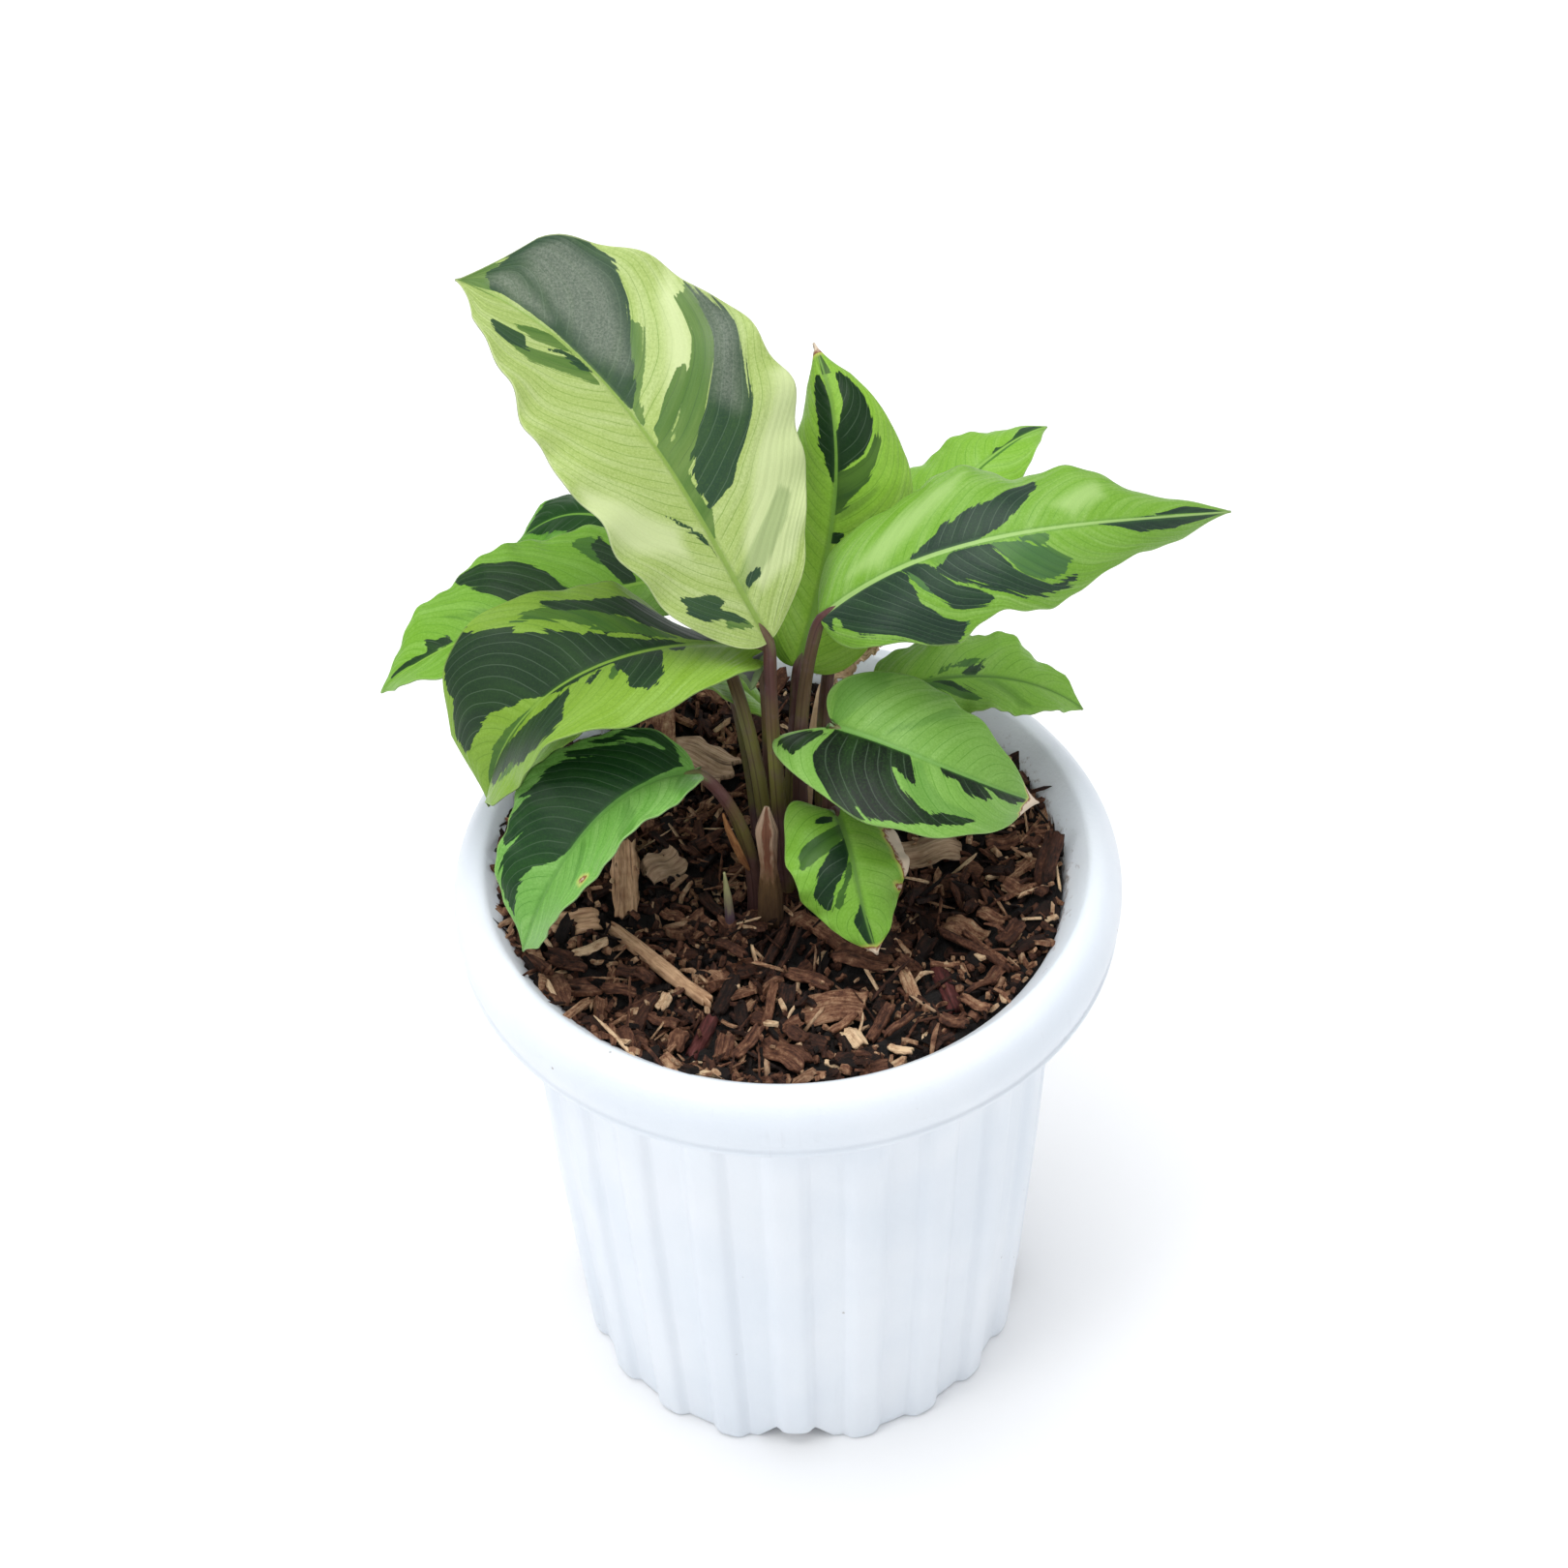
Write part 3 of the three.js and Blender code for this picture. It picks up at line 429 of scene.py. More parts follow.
def build_leaf(name, leaf, materials):
    size = np.linalg.norm(np.array(leaf["midrib"][3]) - np.array(leaf["midrib"][0]))
    rows = int(size * 1.15) + 20
    columns = 2 * int(max(leaf["half"]) * .85) + 13
    u = np.linspace(0, 1, rows)
    t1 = u ** 1.25
    s1 = np.linspace(-1, 1, columns)
    s1 = np.sign(s1) * (1 - (1 - np.abs(s1)) ** 1.15)
    t, s = np.meshgrid(t1, s1, indexing="ij")
    dry = name == "leaf_dry"
    leaf = dict(leaf, scallop=SCALLOP.get(name, (.3, 4.3, .3, .8)))
    point = blade_surface(leaf, t, s, .7 if name == "leaf_tall" else .35)
    step = .01
    t_next, t_last = np.clip(t + step, 0, 1), np.clip(t - step, 0, 1)
    s_next, s_last = np.clip(s + step, -1, 1), np.clip(s - step, -1, 1)
    along = blade_surface(leaf, t_next, s) - blade_surface(leaf, t_last, s)
    across = blade_surface(leaf, t, s_next) - blade_surface(leaf, t, s_last)
    normal = unit(np.cross(across, along))
    steps_along = np.diff(curve_at(leaf["midrib"], np.linspace(0, 1, 60)), axis=0)
    length = float(np.sum(np.linalg.norm(steps_along, axis=1)))
    half = np.where(s >= 0, leaf["half"][1], leaf["half"][0])
    wide = np.maximum(half * blade_share(leaf, t), .12)
    distance = np.abs(s) * wide
    v = np.abs(s)
    vein = length * (t - .14 * v - .16 * v ** 3)
    fade = np.clip(distance / 3, 0, 1) * np.clip((wide - distance) / 2, 0, 1)
    pleat = .05 * np.sin(2 * np.pi * vein / 6.2) * fade
    groove = -.35 * (1 - t) * np.exp(-(distance / 1.1) ** 2)
    point = point + normal * (pleat + groove)[..., None]
    if dry:
        point = point + normal * (1.1 * np.sin(t * 37 + 3 * s) * np.sin(5 * s + 9 * t))[..., None]
    keel = 1.1 * (1 - t) ** .8 * np.exp(-(distance / .9) ** 2)
    upper = point + normal * BLADE_HALF_THICKNESS
    lower = point - normal * (BLADE_HALF_THICKNESS + keel)[..., None]
    total = rows * columns
    faces = sheet_faces(rows, columns)
    blade_faces = len(faces)

    steps, sides = 48, 18
    foot, low, high = leaf["stalk"]
    stalk = [(foot[0], foot[1], STALK_FOOT_Z), low, high, leaf["midrib"][0]]
    u = np.linspace(0, 1, steps)
    path = np.concatenate([curve_at(stalk, u), curve_at(leaf["midrib"], np.array([.03, .07]))])
    sink = np.clip((np.linspace(0, 1, len(path)) - .93) / .07, 0, 1)[:, None]
    path = path - unit(normal[2, columns // 2]) * 1.2 * sink
    radii = np.concatenate([2.05 - .75 * u ** .8 + .12 * np.exp(-((u - .93) / .05) ** 2), [1.2, .5]])
    if dry:
        radii = radii * .8
    tube = tube_points(path, radii, sides, .9, .03)
    start = 2 * total
    faces += tube_faces(steps + 2, sides, start)

    points = np.concatenate([upper.reshape(-1, 3), lower.reshape(-1, 3), tube])
    piece = make_object(name + "_fine", points, faces)
    mesh = piece.data
    for material in materials:
        mesh.materials.append(material)
    mesh.polygons.foreach_set("material_index", [0] * blade_faces + [1] * (len(mesh.polygons) - blade_faces))

    pad = len(tube)
    blank = np.zeros(pad)
    x, y = t * length, s * half * .8
    values = {kind: np.full(t.shape, -9.0) for kind in PATCH_KINDS}
    for kind, outline in read_patches(PATCHES.get(name, "")):
        scaled = [(a * length, b * .8 * leaf["half"][1 if b >= 0 else 0]) for a, b in outline]
        values[kind] = np.maximum(values[kind], inside_distance(x, y, scaled))
    for kind, value in values.items():
        value = np.clip(value, -9, 9).ravel()
        set_values(mesh, kind, np.concatenate([value, value, blank]))
    set_values(mesh, "under", np.concatenate([np.zeros(total), np.ones(total), blank]))
    rim = (wide - distance).ravel()
    set_values(mesh, "rim", np.concatenate([rim, rim, blank]))
    lines = np.stack([vein, np.sign(s) * distance, t], -1).reshape(-1, 3)
    ring = np.repeat(np.arange(steps + 2) / (steps + 1), sides)
    turn = np.tile(np.arange(sides) / sides, steps + 2)
    stem = np.stack([ring, turn, np.zeros(pad)], -1)
    for attribute in ("lines", "grain") if dry else ("lines",):
        set_vectors(mesh, attribute, np.concatenate([lines, lines, stem]))
    return piece


def build_fold(material):
    """Base lobe of the large left leaf, folded down over its stalk with the underside out."""
    left, right, tip = (np.array(p) for p in ((-10.8, 8.5, 198.8), (-1.2, 11.0, 201.8), (-6.0, 6.0, 194.0)))
    rows, columns = 15, 15
    v, u = np.meshgrid(np.linspace(0, 1, rows), np.linspace(0, 1, columns), indexing="ij")
    top = left + (right - left) * u[..., None]
    bottom = tip + (right - left) * ((u - .5) * .1)[..., None]
    shape = v[..., None] ** 1.15
    front = top * (1 - shape) + bottom * shape
    bulge = 1.6 * np.sin(np.pi * u) * (1 - v) + .5 * np.sin(7 * v + 3 * u)
    front = front + bulge[..., None] * np.array([-.2, -.8, .3])
    back = front + np.array([.1, .5, 0])
    total = rows * columns
    faces = [f[::-1] for f in sheet_faces(rows, columns)]
    piece = make_object("leaf_fold", np.concatenate([front.reshape(-1, 3), back.reshape(-1, 3)]), faces,
            material)
    for kind in PATCH_KINDS[1:]:
        set_values(piece.data, kind, np.full(2 * total, -9.0))
    set_values(piece.data, "dark", np.tile((4 - 9 * np.abs(u - .4) - 5 * v).ravel(), 2))
    set_values(piece.data, "under", np.ones(2 * total))
    set_values(piece.data, "rim", np.tile((5 * np.minimum(u, 1 - u)).ravel(), 2))
    lines = np.stack([v * 9 + u * 2, 3 + u * 6, u * 0 + .5], -1).reshape(-1, 3)
    set_vectors(piece.data, "lines", np.concatenate([lines, lines]))
    return piece


# Shading helpers

def rgb(r, g, b):
    """A colour given 0-255 as seen, turned to linear light."""
    def linear(c):
        c /= 255
        return c / 12.92 if c <= .04045 else ((c + .055) / 1.055) ** 2.4
    return (linear(r), linear(g), linear(b), 1.0)


class Wire:
    """Output of a node: arithmetic on it adds math nodes."""

    def __init__(self, net, socket):
        self.net, self.socket = net, socket

    def __add__(self, other):
        return self.net.math("ADD", self, other)

    def __sub__(self, other):
        return self.net.math("SUBTRACT", self, other)

    def __mul__(self, other):
        return self.net.math("MULTIPLY", self, other)

    def __truediv__(self, other):
        return self.net.math("DIVIDE", self, other)

    __rmul__ = __mul__


class Net:
    """Adds nodes to a tree and links them."""

    def __init__(self, tree, material=None):
        self.tree, self.material = tree, material

    def put(self, socket, value):
        if isinstance(value, Wire):
            value = value.socket
        if isinstance(value, bpy.types.NodeSocket):
            self.tree.links.new(value, socket)
        else:
            socket.default_value = value

    def add(self, kind, values=(), **settings):
        node = self.tree.nodes.new(kind)
        for key, value in settings.items():
            setattr(node, key, value)
        for key, value in dict(values).items():
            self.put(node.inputs[key], value)
        return node

    def wire(self, kind, values=(), output=0, **settings):
        return Wire(self, self.add(kind, values, **settings).outputs[output])

    def math(self, operation, a, b=0.0):
        return self.wire("ShaderNodeMath", {0: a, 1: b}, operation=operation)

    def mix(self, share, a, b, blend="MIX"):
        return self.wire("ShaderNodeMix", {0: share, 6: a, 7: b}, 2, data_type="RGBA", blend_type=blend)

    def smooth(self, value, low, high):
        return self.wire("ShaderNodeMapRange", {0: value, 1: low, 2: high}, interpolation_type="SMOOTHSTEP")

    def noise(self, vector, scale, detail=3.0, roughness=.55):
        return self.wire("ShaderNodeTexNoise",
                {"Vector": vector, "Scale": scale, "Detail": detail, "Roughness": roughness})

    def attribute(self, name):
        return self.wire("ShaderNodeAttribute", output="Fac", attribute_name=name)

    def vector(self, name):
        """The three numbers of a vector attribute."""
        return self.separate(self.wire("ShaderNodeAttribute", output="Vector", attribute_name=name))

    def combine(self, x, y, z=0.0):
        return self.wire("ShaderNodeCombineXYZ", {0: x, 1: y, 2: z})

    def separate(self, vector):
        return [Wire(self, socket) for socket in self.add("ShaderNodeSeparateXYZ", {0: vector}).outputs]

    def place(self):
        """Object coordinates in millimetres."""
        return self.wire("ShaderNodeVectorMath",
                {0: self.wire("ShaderNodeTexCoord", output="Object"), 3: 1000.0}, operation="SCALE")

    def stretched(self, share):
        """Object coordinates in millimetres, each times its own share."""
        return self.wire("ShaderNodeVectorMath", {0: self.place(), 1: share}, operation="MULTIPLY")

    def surface(self, color, roughness, relief=None, strength=1.0, depth=.001, specular=.5):
        """Feeds the material's shader; relief makes a bump, depth in metres."""
        shader = next(n for n in self.tree.nodes if n.type == "BSDF_PRINCIPLED")
        self.put(shader.inputs["Base Color"], color)
        self.put(shader.inputs["Roughness"], roughness)
        shader.inputs["Specular IOR Level"].default_value = specular
        if relief:
            bump = self.add("ShaderNodeBump", {"Strength": strength, "Distance": depth, "Height": relief})
            self.put(shader.inputs["Normal"], bump.outputs[0])
        return self.material

    def ramp(self, value, stops):
        node = self.add("ShaderNodeValToRGB", {0: value})
        elements = node.color_ramp.elements
        while len(elements) < len(stops):
            elements.new(.5)
        for element, (position, color) in zip(elements, stops):
            element.position = position
            element.color = color
        return Wire(self, node.outputs[0])


def new_group(name, inputs, outputs):
    tree = bpy.data.node_groups.new(name, "ShaderNodeTree")
    for label, kind in inputs:
        tree.interface.new_socket(name=label, in_out="INPUT", socket_type=kind)
    for label, kind in outputs:
        tree.interface.new_socket(name=label, in_out="OUTPUT", socket_type=kind)
    return Net(tree), tree.nodes.new("NodeGroupInput"), tree.nodes.new("NodeGroupOutput")


def new_material(name):
    material = bpy.data.materials.new(name)
    material.use_nodes = True
    return Net(material.node_tree, material)


COLOR, VALUE = "NodeSocketColor", "NodeSocketFloat"


def leaf_skin():
    """Variegated leaf: toothed patches, veins, midrib, painted highlight along the margin, painted sheen,
    underside, dead edge.
    """
    net, given, result = new_group("Leaf skin",
            [("Ground", COLOR), ("Pale", COLOR), ("Mid", COLOR), ("Dark", COLOR), ("Vein", COLOR),
            ("Rib", COLOR)], [("Color", COLOR), ("Roughness", VALUE), ("Height", VALUE)])
    ground, pale, mid, dark, vein_color, rib_color = (given.outputs[i] for i in range(6))
    vein, side, along = net.vector("lines")
    distance = net.math("ABSOLUTE", side)
    place = net.place()
    fine = net.noise(place, 1.5, 2)
    drift = net.noise(place, .12, 1) * 1.2 + vein

    def teeth(step, seed):
        cell = net.math("FLOOR", drift / step)
        sided = net.math("SIGN", side) * 40.0 + seed
        return net.wire("ShaderNodeTexWhiteNoise", {"Vector": net.combine(cell, sided)}, "Value",
                noise_dimensions="2D")

    wobble = teeth(.8, 3.0) * .6 - .3 + teeth(2.3, 7.0) - .5
    wobble = wobble * net.smooth(distance, .3, 3.5)
    wobble = wobble + fine * .4 - .2

    def mask(name, soften=.1, share=1.0):
        value = wobble * share + net.attribute(name)
        return net.smooth(value, -soften, soften)

    streak = net.noise(net.combine(vein * .2, side * .04), 1, 3)
    cells = net.noise(place, 1.9, 4, .75)
    base = net.mix(net.smooth(streak, .42, .7) * .4, ground, pale)
    base = net.mix(net.smooth(cells, .42, .66) * .3, base, vein_color)
    base = net.mix(net.smooth(cells, .5, .32) * .2, base, pale)
    wave = net.math("PINGPONG", drift / 3.1, .5)
    line = net.smooth(wave, .07, .0) * net.smooth(distance, .6, 3)
    small = net.math("PINGPONG", drift / .78, .5)
    hair = net.smooth(small, .16, .0) * .16
    base = net.mix(net.math("MAXIMUM", line * .7, hair), base, vein_color)
    base = net.mix(net.smooth(net.attribute("pale") + fine, -1.5, 2.5) * .8, base, pale)
    soft = net.mix(.4, base, mid)
    color = net.mix(mask("soft", .7), base, soft)
    green = net.mix(net.smooth(streak, .35, .65) * .2, mid, ground)
    green = net.mix(cells * .2, green, dark)
    green = net.mix(line * .3, green, dark)
    color = net.mix(mask("mid"), color, green)
    night = net.mix(net.smooth(streak, .4, .7) * .16, dark, mid)
    night = net.mix(net.smooth(cells, .45, .7) * .16, night, mid)
    night = net.mix(line * .22, night, rgb(120, 142, 118))
    color = net.mix(mask("dark"), color, night)
    color = net.mix(mask("light"), color, base)
    # Painted sheen: grey painted over the sheen patches, standing in for light glancing off the leaf.
    painted_sheen = net.smooth(net.attribute("sheen"), -3.0, 2.0) * net.smooth(cells, .1, .8)
    color = net.mix(painted_sheen * .7, color, rgb(134, 140, 128))

    rib_half = along * -.5 + .62
    rib = net.smooth(distance - rib_half, .16, -.1)
    beside = net.smooth(distance - rib_half, .8, .1)
    color = net.mix(beside * .3, color, mid)
    color = net.mix(rib * .85, color, rib_color)
    # Painted highlight: a pale line painted along the leaf's margin, standing in for light catching the
    # edge.
    rim = net.smooth(net.attribute("rim"), .42, .1)
    color = net.mix(rim * .5, color, pale)

    dusky = net.mix(.66, color, rgb(122, 134, 112))
    dusky = net.mix(mask("dark") * .55, dusky, rgb(96, 86, 100))
    color = net.mix(net.attribute("under"), color, dusky)

    parched = wobble * .5 + net.attribute("dead")
    burnt = net.mix(net.smooth(parched + fine * 1.4 - .7, .1, 1.0), rgb(128, 78, 46), rgb(214, 196, 172))
    color = net.mix(net.smooth(parched, -1.0, .1), color, net.mix(.5, pale, rgb(206, 190, 90)))
    color = net.mix(net.smooth(parched, -.15, .15), color, burnt)
    shine = cells * .2 + .3
    relief = wave * .7 + small * .08 + cells * .35
    net.put(result.inputs[0], color)
    net.put(result.inputs[1], shine)
    net.put(result.inputs[2], relief)
    return net.tree


def leaf_material(name, skin):
    net = new_material(name + "_skin")
    node = net.add("ShaderNodeGroup", node_tree=skin)
    for label, tone in zip(("Ground", "Pale", "Mid", "Dark", "Vein", "Rib"), TONES[name]):
        node.inputs[label].default_value = rgb(*tone)
    return net.surface(node.outputs["Color"], node.outputs["Roughness"], node.outputs["Height"], .5, .0003,
            .2)


def stalk_material():
    """Stalk: olive green sheath below, purple brown above, lengthwise streaks."""
    net = new_material("stalk")
    along, turn, _ = net.vector("lines")
    place = net.place()
    streaks = net.noise(net.combine(along * 3.0, turn * 24.0), 1, 3)
    blotch = net.noise(place, .25, 3)
    height = along + streaks * .4 - .2
    olive = net.ramp(height, [(.05, rgb(84, 62, 44)), (.2, rgb(104, 94, 52)), (.55, rgb(118, 116, 58)),
            (.68, rgb(108, 86, 60)), (.9, rgb(100, 78, 60)), (1.0, rgb(104, 116, 62))])
    wine = net.ramp(height, [(.05, rgb(78, 50, 50)), (.3, rgb(92, 66, 62)), (.55, rgb(98, 72, 58)),
            (.75, rgb(98, 64, 60)), (1.0, rgb(88, 56, 54))])
    color = net.mix(net.smooth(net.noise(place, .055, 1), .44, .56), olive, wine)
    color = net.mix(net.smooth(blotch, .5, .7) * .35, color, rgb(118, 92, 92))
    seam = net.smooth(net.math("ABSOLUTE", turn - .72), .025, .005)
    color = net.mix(seam * .5, color, rgb(58, 38, 34))
    return net.surface(color, .42, streaks, .5, .0004, .3)


def shoot_material():
    """New shoot: pale at the tip, dusky purple towards the soil."""
    net = new_material("shoot")
    place = net.place()
    height = net.separate(place)[2]
    streaks = net.noise(net.stretched((1.6, 1.6, .2)), 1, 3)
    value = height * .07 - 9.55 + streaks * .4 - .2
    color = net.ramp(value, [(.0, rgb(74, 50, 48)), (.35, rgb(104, 84, 96)), (.6, rgb(158, 150, 118)),
            (.9, rgb(190, 190, 136))])
    return net.surface(color, .45, streaks, .4, .0003)


def sheath_material():
    """Dry sheath: olive brown low down, pale straw above with a red brown middle streak."""
    net = new_material("sheath")
    along, turn, _ = net.vector("grain")
    fibre = net.noise(net.combine(along * .12, turn * 9.0), 1, 5, .7)
    fray = net.noise(net.combine(along * .5, turn * 3.0), 1, 3)
    height = along * .05 + fray * .36 - .18
    color = net.ramp(height, [(.15, rgb(60, 40, 30)), (.34, rgb(92, 70, 48)), (.5, rgb(112, 86, 56)),
            (.6, rgb(160, 124, 96)), (.72, rgb(198, 166, 138)), (1.0, rgb(206, 178, 152))])
    middle = net.smooth(net.math("ABSOLUTE", turn + fray * .7 - 3.35), .42, .2)
    upper = net.smooth(height, .52, .66)
    color = net.mix(middle * upper * .85, color, rgb(126, 72, 50))
    color = net.mix(net.smooth(fibre, .55, .68) * .55, color, rgb(74, 44, 34))
    return net.surface(color, .7, fibre, .8, .0006, .25)


def dry_material(name, light, deep, scale=.6):
    """Dead leaf, bract or wood: fibres along the piece, blotches and cracks."""
    net = new_material(name)
    place = net.place()
    u, v, w = net.vector("grain")
    fibre = net.noise(net.combine(u * .14, v * 1.2, w), scale * 1.6, 5, .7)
    blotch = net.noise(place, .22, 3)
    color = net.ramp(fibre, [(.3, rgb(*deep)), (.52, rgb(*light)),
            (.7, rgb(*[min(255, c + 26) for c in light]))])
    color = net.mix(net.smooth(blotch, .48, .68) * .45, color, rgb(*deep))
    crack = net.noise(net.combine(u * .06, v * 1.3, w), scale * 2.0, 3)
    color = net.mix(net.smooth(crack, .58, .66) * .65, color, rgb(*[c // 2 for c in deep]))
    return net.surface(color, .78, fibre, .8, .0006, .25)


# Pot

RIB_COUNT, RIB_TURN, RIB_HEIGHT, RIB_HALF_ANGLE = 20, -93, 1.9, 5.2
NOTCH_HEIGHT, NOTCH_TOP, NOTCH_BOTTOM = 4.3, 9, 18
FOOT_RECESS_R, FOOT_RECESS_Z, FLOOR_Z, PAD_R = 46.8, 5, 7.5, 13
DRAIN_COUNT, DRAIN_R, DRAIN_RING, DRAIN_SIDES = 6, 4, 28, 28
RIM_R, RIM_Z, RIM_HALF_W, RIM_HALF_H = 68.5, 138.7, 6.5, 9.3


def rib_share(angle):
    """How far the wall stands out at an angle in degrees: 1 on a rib, 0 on a panel."""
    step = 360 / RIB_COUNT
    offset = np.abs((angle - RIB_TURN + step / 2) % step - step / 2) / RIB_HALF_ANGLE
    share = np.clip(1 - offset ** 3.4, 0, 1)
    return share * share * (2.2 - 1.2 * share)


def notch_rise(angle, radius):
    """Height of the foot's edge above the ground at each angle."""
    offset = np.abs((angle + 93 + 45) % 90 - 45)
    flat = np.radians(offset) * radius
    return NOTCH_HEIGHT * np.clip((NOTCH_BOTTOM / 2 - flat) / ((NOTCH_BOTTOM - NOTCH_TOP) / 2), 0, 1)


def pot_profile():
    """Rows of (radius, height, share of ribs, share of notch) from the recess round to the inner floor."""
    def plain(*pairs):
        return [(radius, z, 0, 0) for radius, z in pairs]

    top = FOOT_RECESS_Z
    rows = plain((.01, 0), (PAD_R - .4, 0), (PAD_R, .4), (PAD_R, top - .4), (PAD_R + .4, top), (20, top),
            (35, top), (FOOT_RECESS_R - .8, top))
    rows += [(FOOT_RECESS_R, top - .6, 0, .1), (FOOT_RECESS_R, 2.5, 0, .5), (FOOT_RECESS_R + .1, .5, 0, 1),
            (FOOT_RECESS_R + .5, .05, 0, 1)]
    for z in (0.02, .3, .8, 1.5):
        rows.append((49.9 + .8 * (z / 1.5) - (.5 if z < .1 else 0), z, 1, 1 - z / 12))
    for z in np.linspace(3, 128, 40):
        radius = np.interp(z, [1.5, 59, 134], [50.7, 55.5, 60.4])
        rows.append((radius, z, 1, max(0, 1 - z / 12)))
    rows += [(60.1, 129.5, 1, 0), (60.25, 130.5, 1, 0), (60.9, 131.0, .6, 0)]
    rows += plain((62.8, 131.15), (65.5, 131.2), (68.5, 131.3), (71.2, 131.3), (72.6, 131.0))
    for degrees in np.linspace(-70, 60, 7):
        a = math.radians(degrees)
        rows.append((73.55 + .85 * math.cos(a), 132.1 + .95 * math.sin(a), 0, 0))
    for degrees in np.linspace(-30, 84, 26):
        a = math.radians(degrees)
        rows.append((RIM_R + RIM_HALF_W * math.cos(a), RIM_Z + RIM_HALF_H * math.sin(a), 0, 0))
    rows += plain((68.7, 147.98), (68.2, 147.95), (67.6, 147.75), (67.1, 147.3), (66.4, 146.6),
            (65.4, 145.5), (64.2, 144), (63.2, 142.7), (62.6, 141.6), (62.1, 140), (61.4, 137.6),
            (60.4, 134.2), (58.7, 128.2))
    for z in (110, 80, 50, 25, 12, 9.5):
        rows.append((float(np.interp(z, [9.5, 128], [49.6, 58.6])), z, 0, 0))
    rows += plain((48.6, FLOOR_Z + .3), (47, FLOOR_Z), (35, FLOOR_Z), (20, FLOOR_Z), (.01, FLOOR_Z))
    return rows


def build_pot(material):
    columns = 480
    angle = np.linspace(0, 360, columns, endpoint=False)
    rib, rounds = rib_share(angle), np.radians(angle)
    rows = pot_profile()
    points = []
    for radius, z, ribs, notch in rows:
        r = radius + RIB_HEIGHT * rib * ribs
        rise = notch_rise(angle, max(radius, 1)) * notch
        points.append(ring_points(r, rounds, z + rise))
    points = np.concatenate(points)
    pot = make_object("pot_body", points, tube_faces(len(rows), columns))
    cutters, cut_faces = [], []
    ring = np.linspace(0, 2 * np.pi, DRAIN_SIDES, endpoint=False)
    for i in range(DRAIN_COUNT):
        turn = 2 * math.pi * i / DRAIN_COUNT
        center = np.array([DRAIN_RING * math.cos(turn), DRAIN_RING * math.sin(turn), 0])
        cutters += [center + ring_points(DRAIN_R, ring, z) for z in (2, 10)]
        cut_faces += tube_faces(2, DRAIN_SIDES, i * 2 * DRAIN_SIDES)
    cutter = make_object("drain_cutter", np.concatenate(cutters), cut_faces)
    cut = pot.modifiers.new("drain", "BOOLEAN")
    cut.object = cutter
    cut.operation = "DIFFERENCE"
    cut.solver = "EXACT"
    piece = bake(pot, "pot_white", material)
    bpy.data.objects.remove(cutter)
    return piece


def bake(source, name, material=None):
    """Plain mesh of an object with its modifiers in it; the source goes."""
    graph = bpy.context.evaluated_depsgraph_get()
    mesh = bpy.data.meshes.new_from_object(source.evaluated_get(graph), depsgraph=graph)
    mesh.name = name
    piece = bpy.data.objects.new(name, mesh)
    bpy.context.scene.collection.objects.link(piece)
    bpy.data.objects.remove(source)
    if material:
        mesh.materials.clear()
        mesh.materials.append(material)
    return piece


def pot_material():
    """White satin plastic with faint mould flow, scuffs, specks and soil dust on the inside."""
    net = new_material("pot_plastic")
    place = net.place()
    x, y, z = net.separate(place)
    radius = net.math("SQRT", x * x + y * y)
    cloud = net.noise(place, .02, 3)
    color = net.mix(net.smooth(cloud, .35, .7), rgb(223, 230, 238), rgb(231, 236, 242))
    specks = net.add("ShaderNodeTexVoronoi", {"Vector": place, "Scale": .16, "Randomness": 1.0})
    chance = net.noise(specks.outputs["Position"], 3.1, 0)
    dot = net.smooth(specks.outputs["Distance"], .07, .03) * net.smooth(chance, .62, .66)
    color = net.mix(dot * .55, color, rgb(120, 104, 92))
    inner = net.smooth(radius, 67.2, 65.8) * net.smooth(z, 133, 135)
    dust = net.noise(place, .35, 5, .7)
    low = net.smooth(z, 147, 137)
    dirt = inner * net.smooth(dust + low * .26, .62, .82)
    color = net.mix(dirt * .75, color, rgb(112, 82, 62))
    scuff = net.noise(net.stretched((.3, .3, .02)), 1, 4, .7)
    color = net.mix(net.smooth(scuff, .62, .75) * .12, color, rgb(190, 192, 198))
    grainy = net.noise(place, 1.1, 3)
    shine = scuff * .2 + .26 + dirt * .4
    return net.surface(color, shine, grainy + scuff * 1.5, .25, .0003)


# Soil

def soil_height(x, y):
    rough = np.sin(x * .21 + 1.3) * np.cos(y * .17) + .6 * np.sin(x * .43 - y * .37)
    edge = np.hypot(x, y) / 60
    dip = np.maximum(0, (x + y) / 60 - .9)
    return 136.4 + 3.6 * edge ** 3 + 1.5 * np.maximum(y / 60, 0) - 6 * dip + .9 * rough


def inner_radius(z):
    return np.interp(z, [7.5, 9.5, 128, 142, 148], [48.4, 49.6, 58.6, 62.6, 67.4])


def build_soil(material):
    rings, columns = 90, 260
    angle = np.linspace(0, 2 * np.pi, columns, endpoint=False)
    points = []
    for z, r in ((7.9, 46), (30, 50.6), (80, 54.4), (125, 57.8)):
        points.append(ring_points(r, angle, z))
    for i in range(rings):
        r = 61.6 * (1 - i / rings) ** .9
        x, y = r * np.cos(angle), r * np.sin(angle)
        z = soil_height(x, y) + (.8 * np.sin(x * .8 + 2 * np.sin(y * .6)) * np.cos(y * .7 + x * .3) + .45
                * np.sin(x * 2.1 - y * 1.3) * np.sin(y * 1.7)) - .7
        limit = inner_radius(z) - .3
        shrink = np.minimum(1, limit / np.maximum(np.hypot(x, y), 1e-6))
        points.append(np.stack([x * shrink, y * shrink, z], -1))
    points.append(np.array([[0, 0, float(soil_height(0, 0))]]))
    points = np.concatenate(points)
    rows = rings + 4
    faces = grid_faces(rows, columns, close=True)
    last = (rows - 1) * columns
    faces += [(last + j, last + (j + 1) % columns, rows * columns) for j in range(columns)]
    faces.append(tuple(range(columns))[::-1])
    return make_object("soil_bed", points, faces, material)


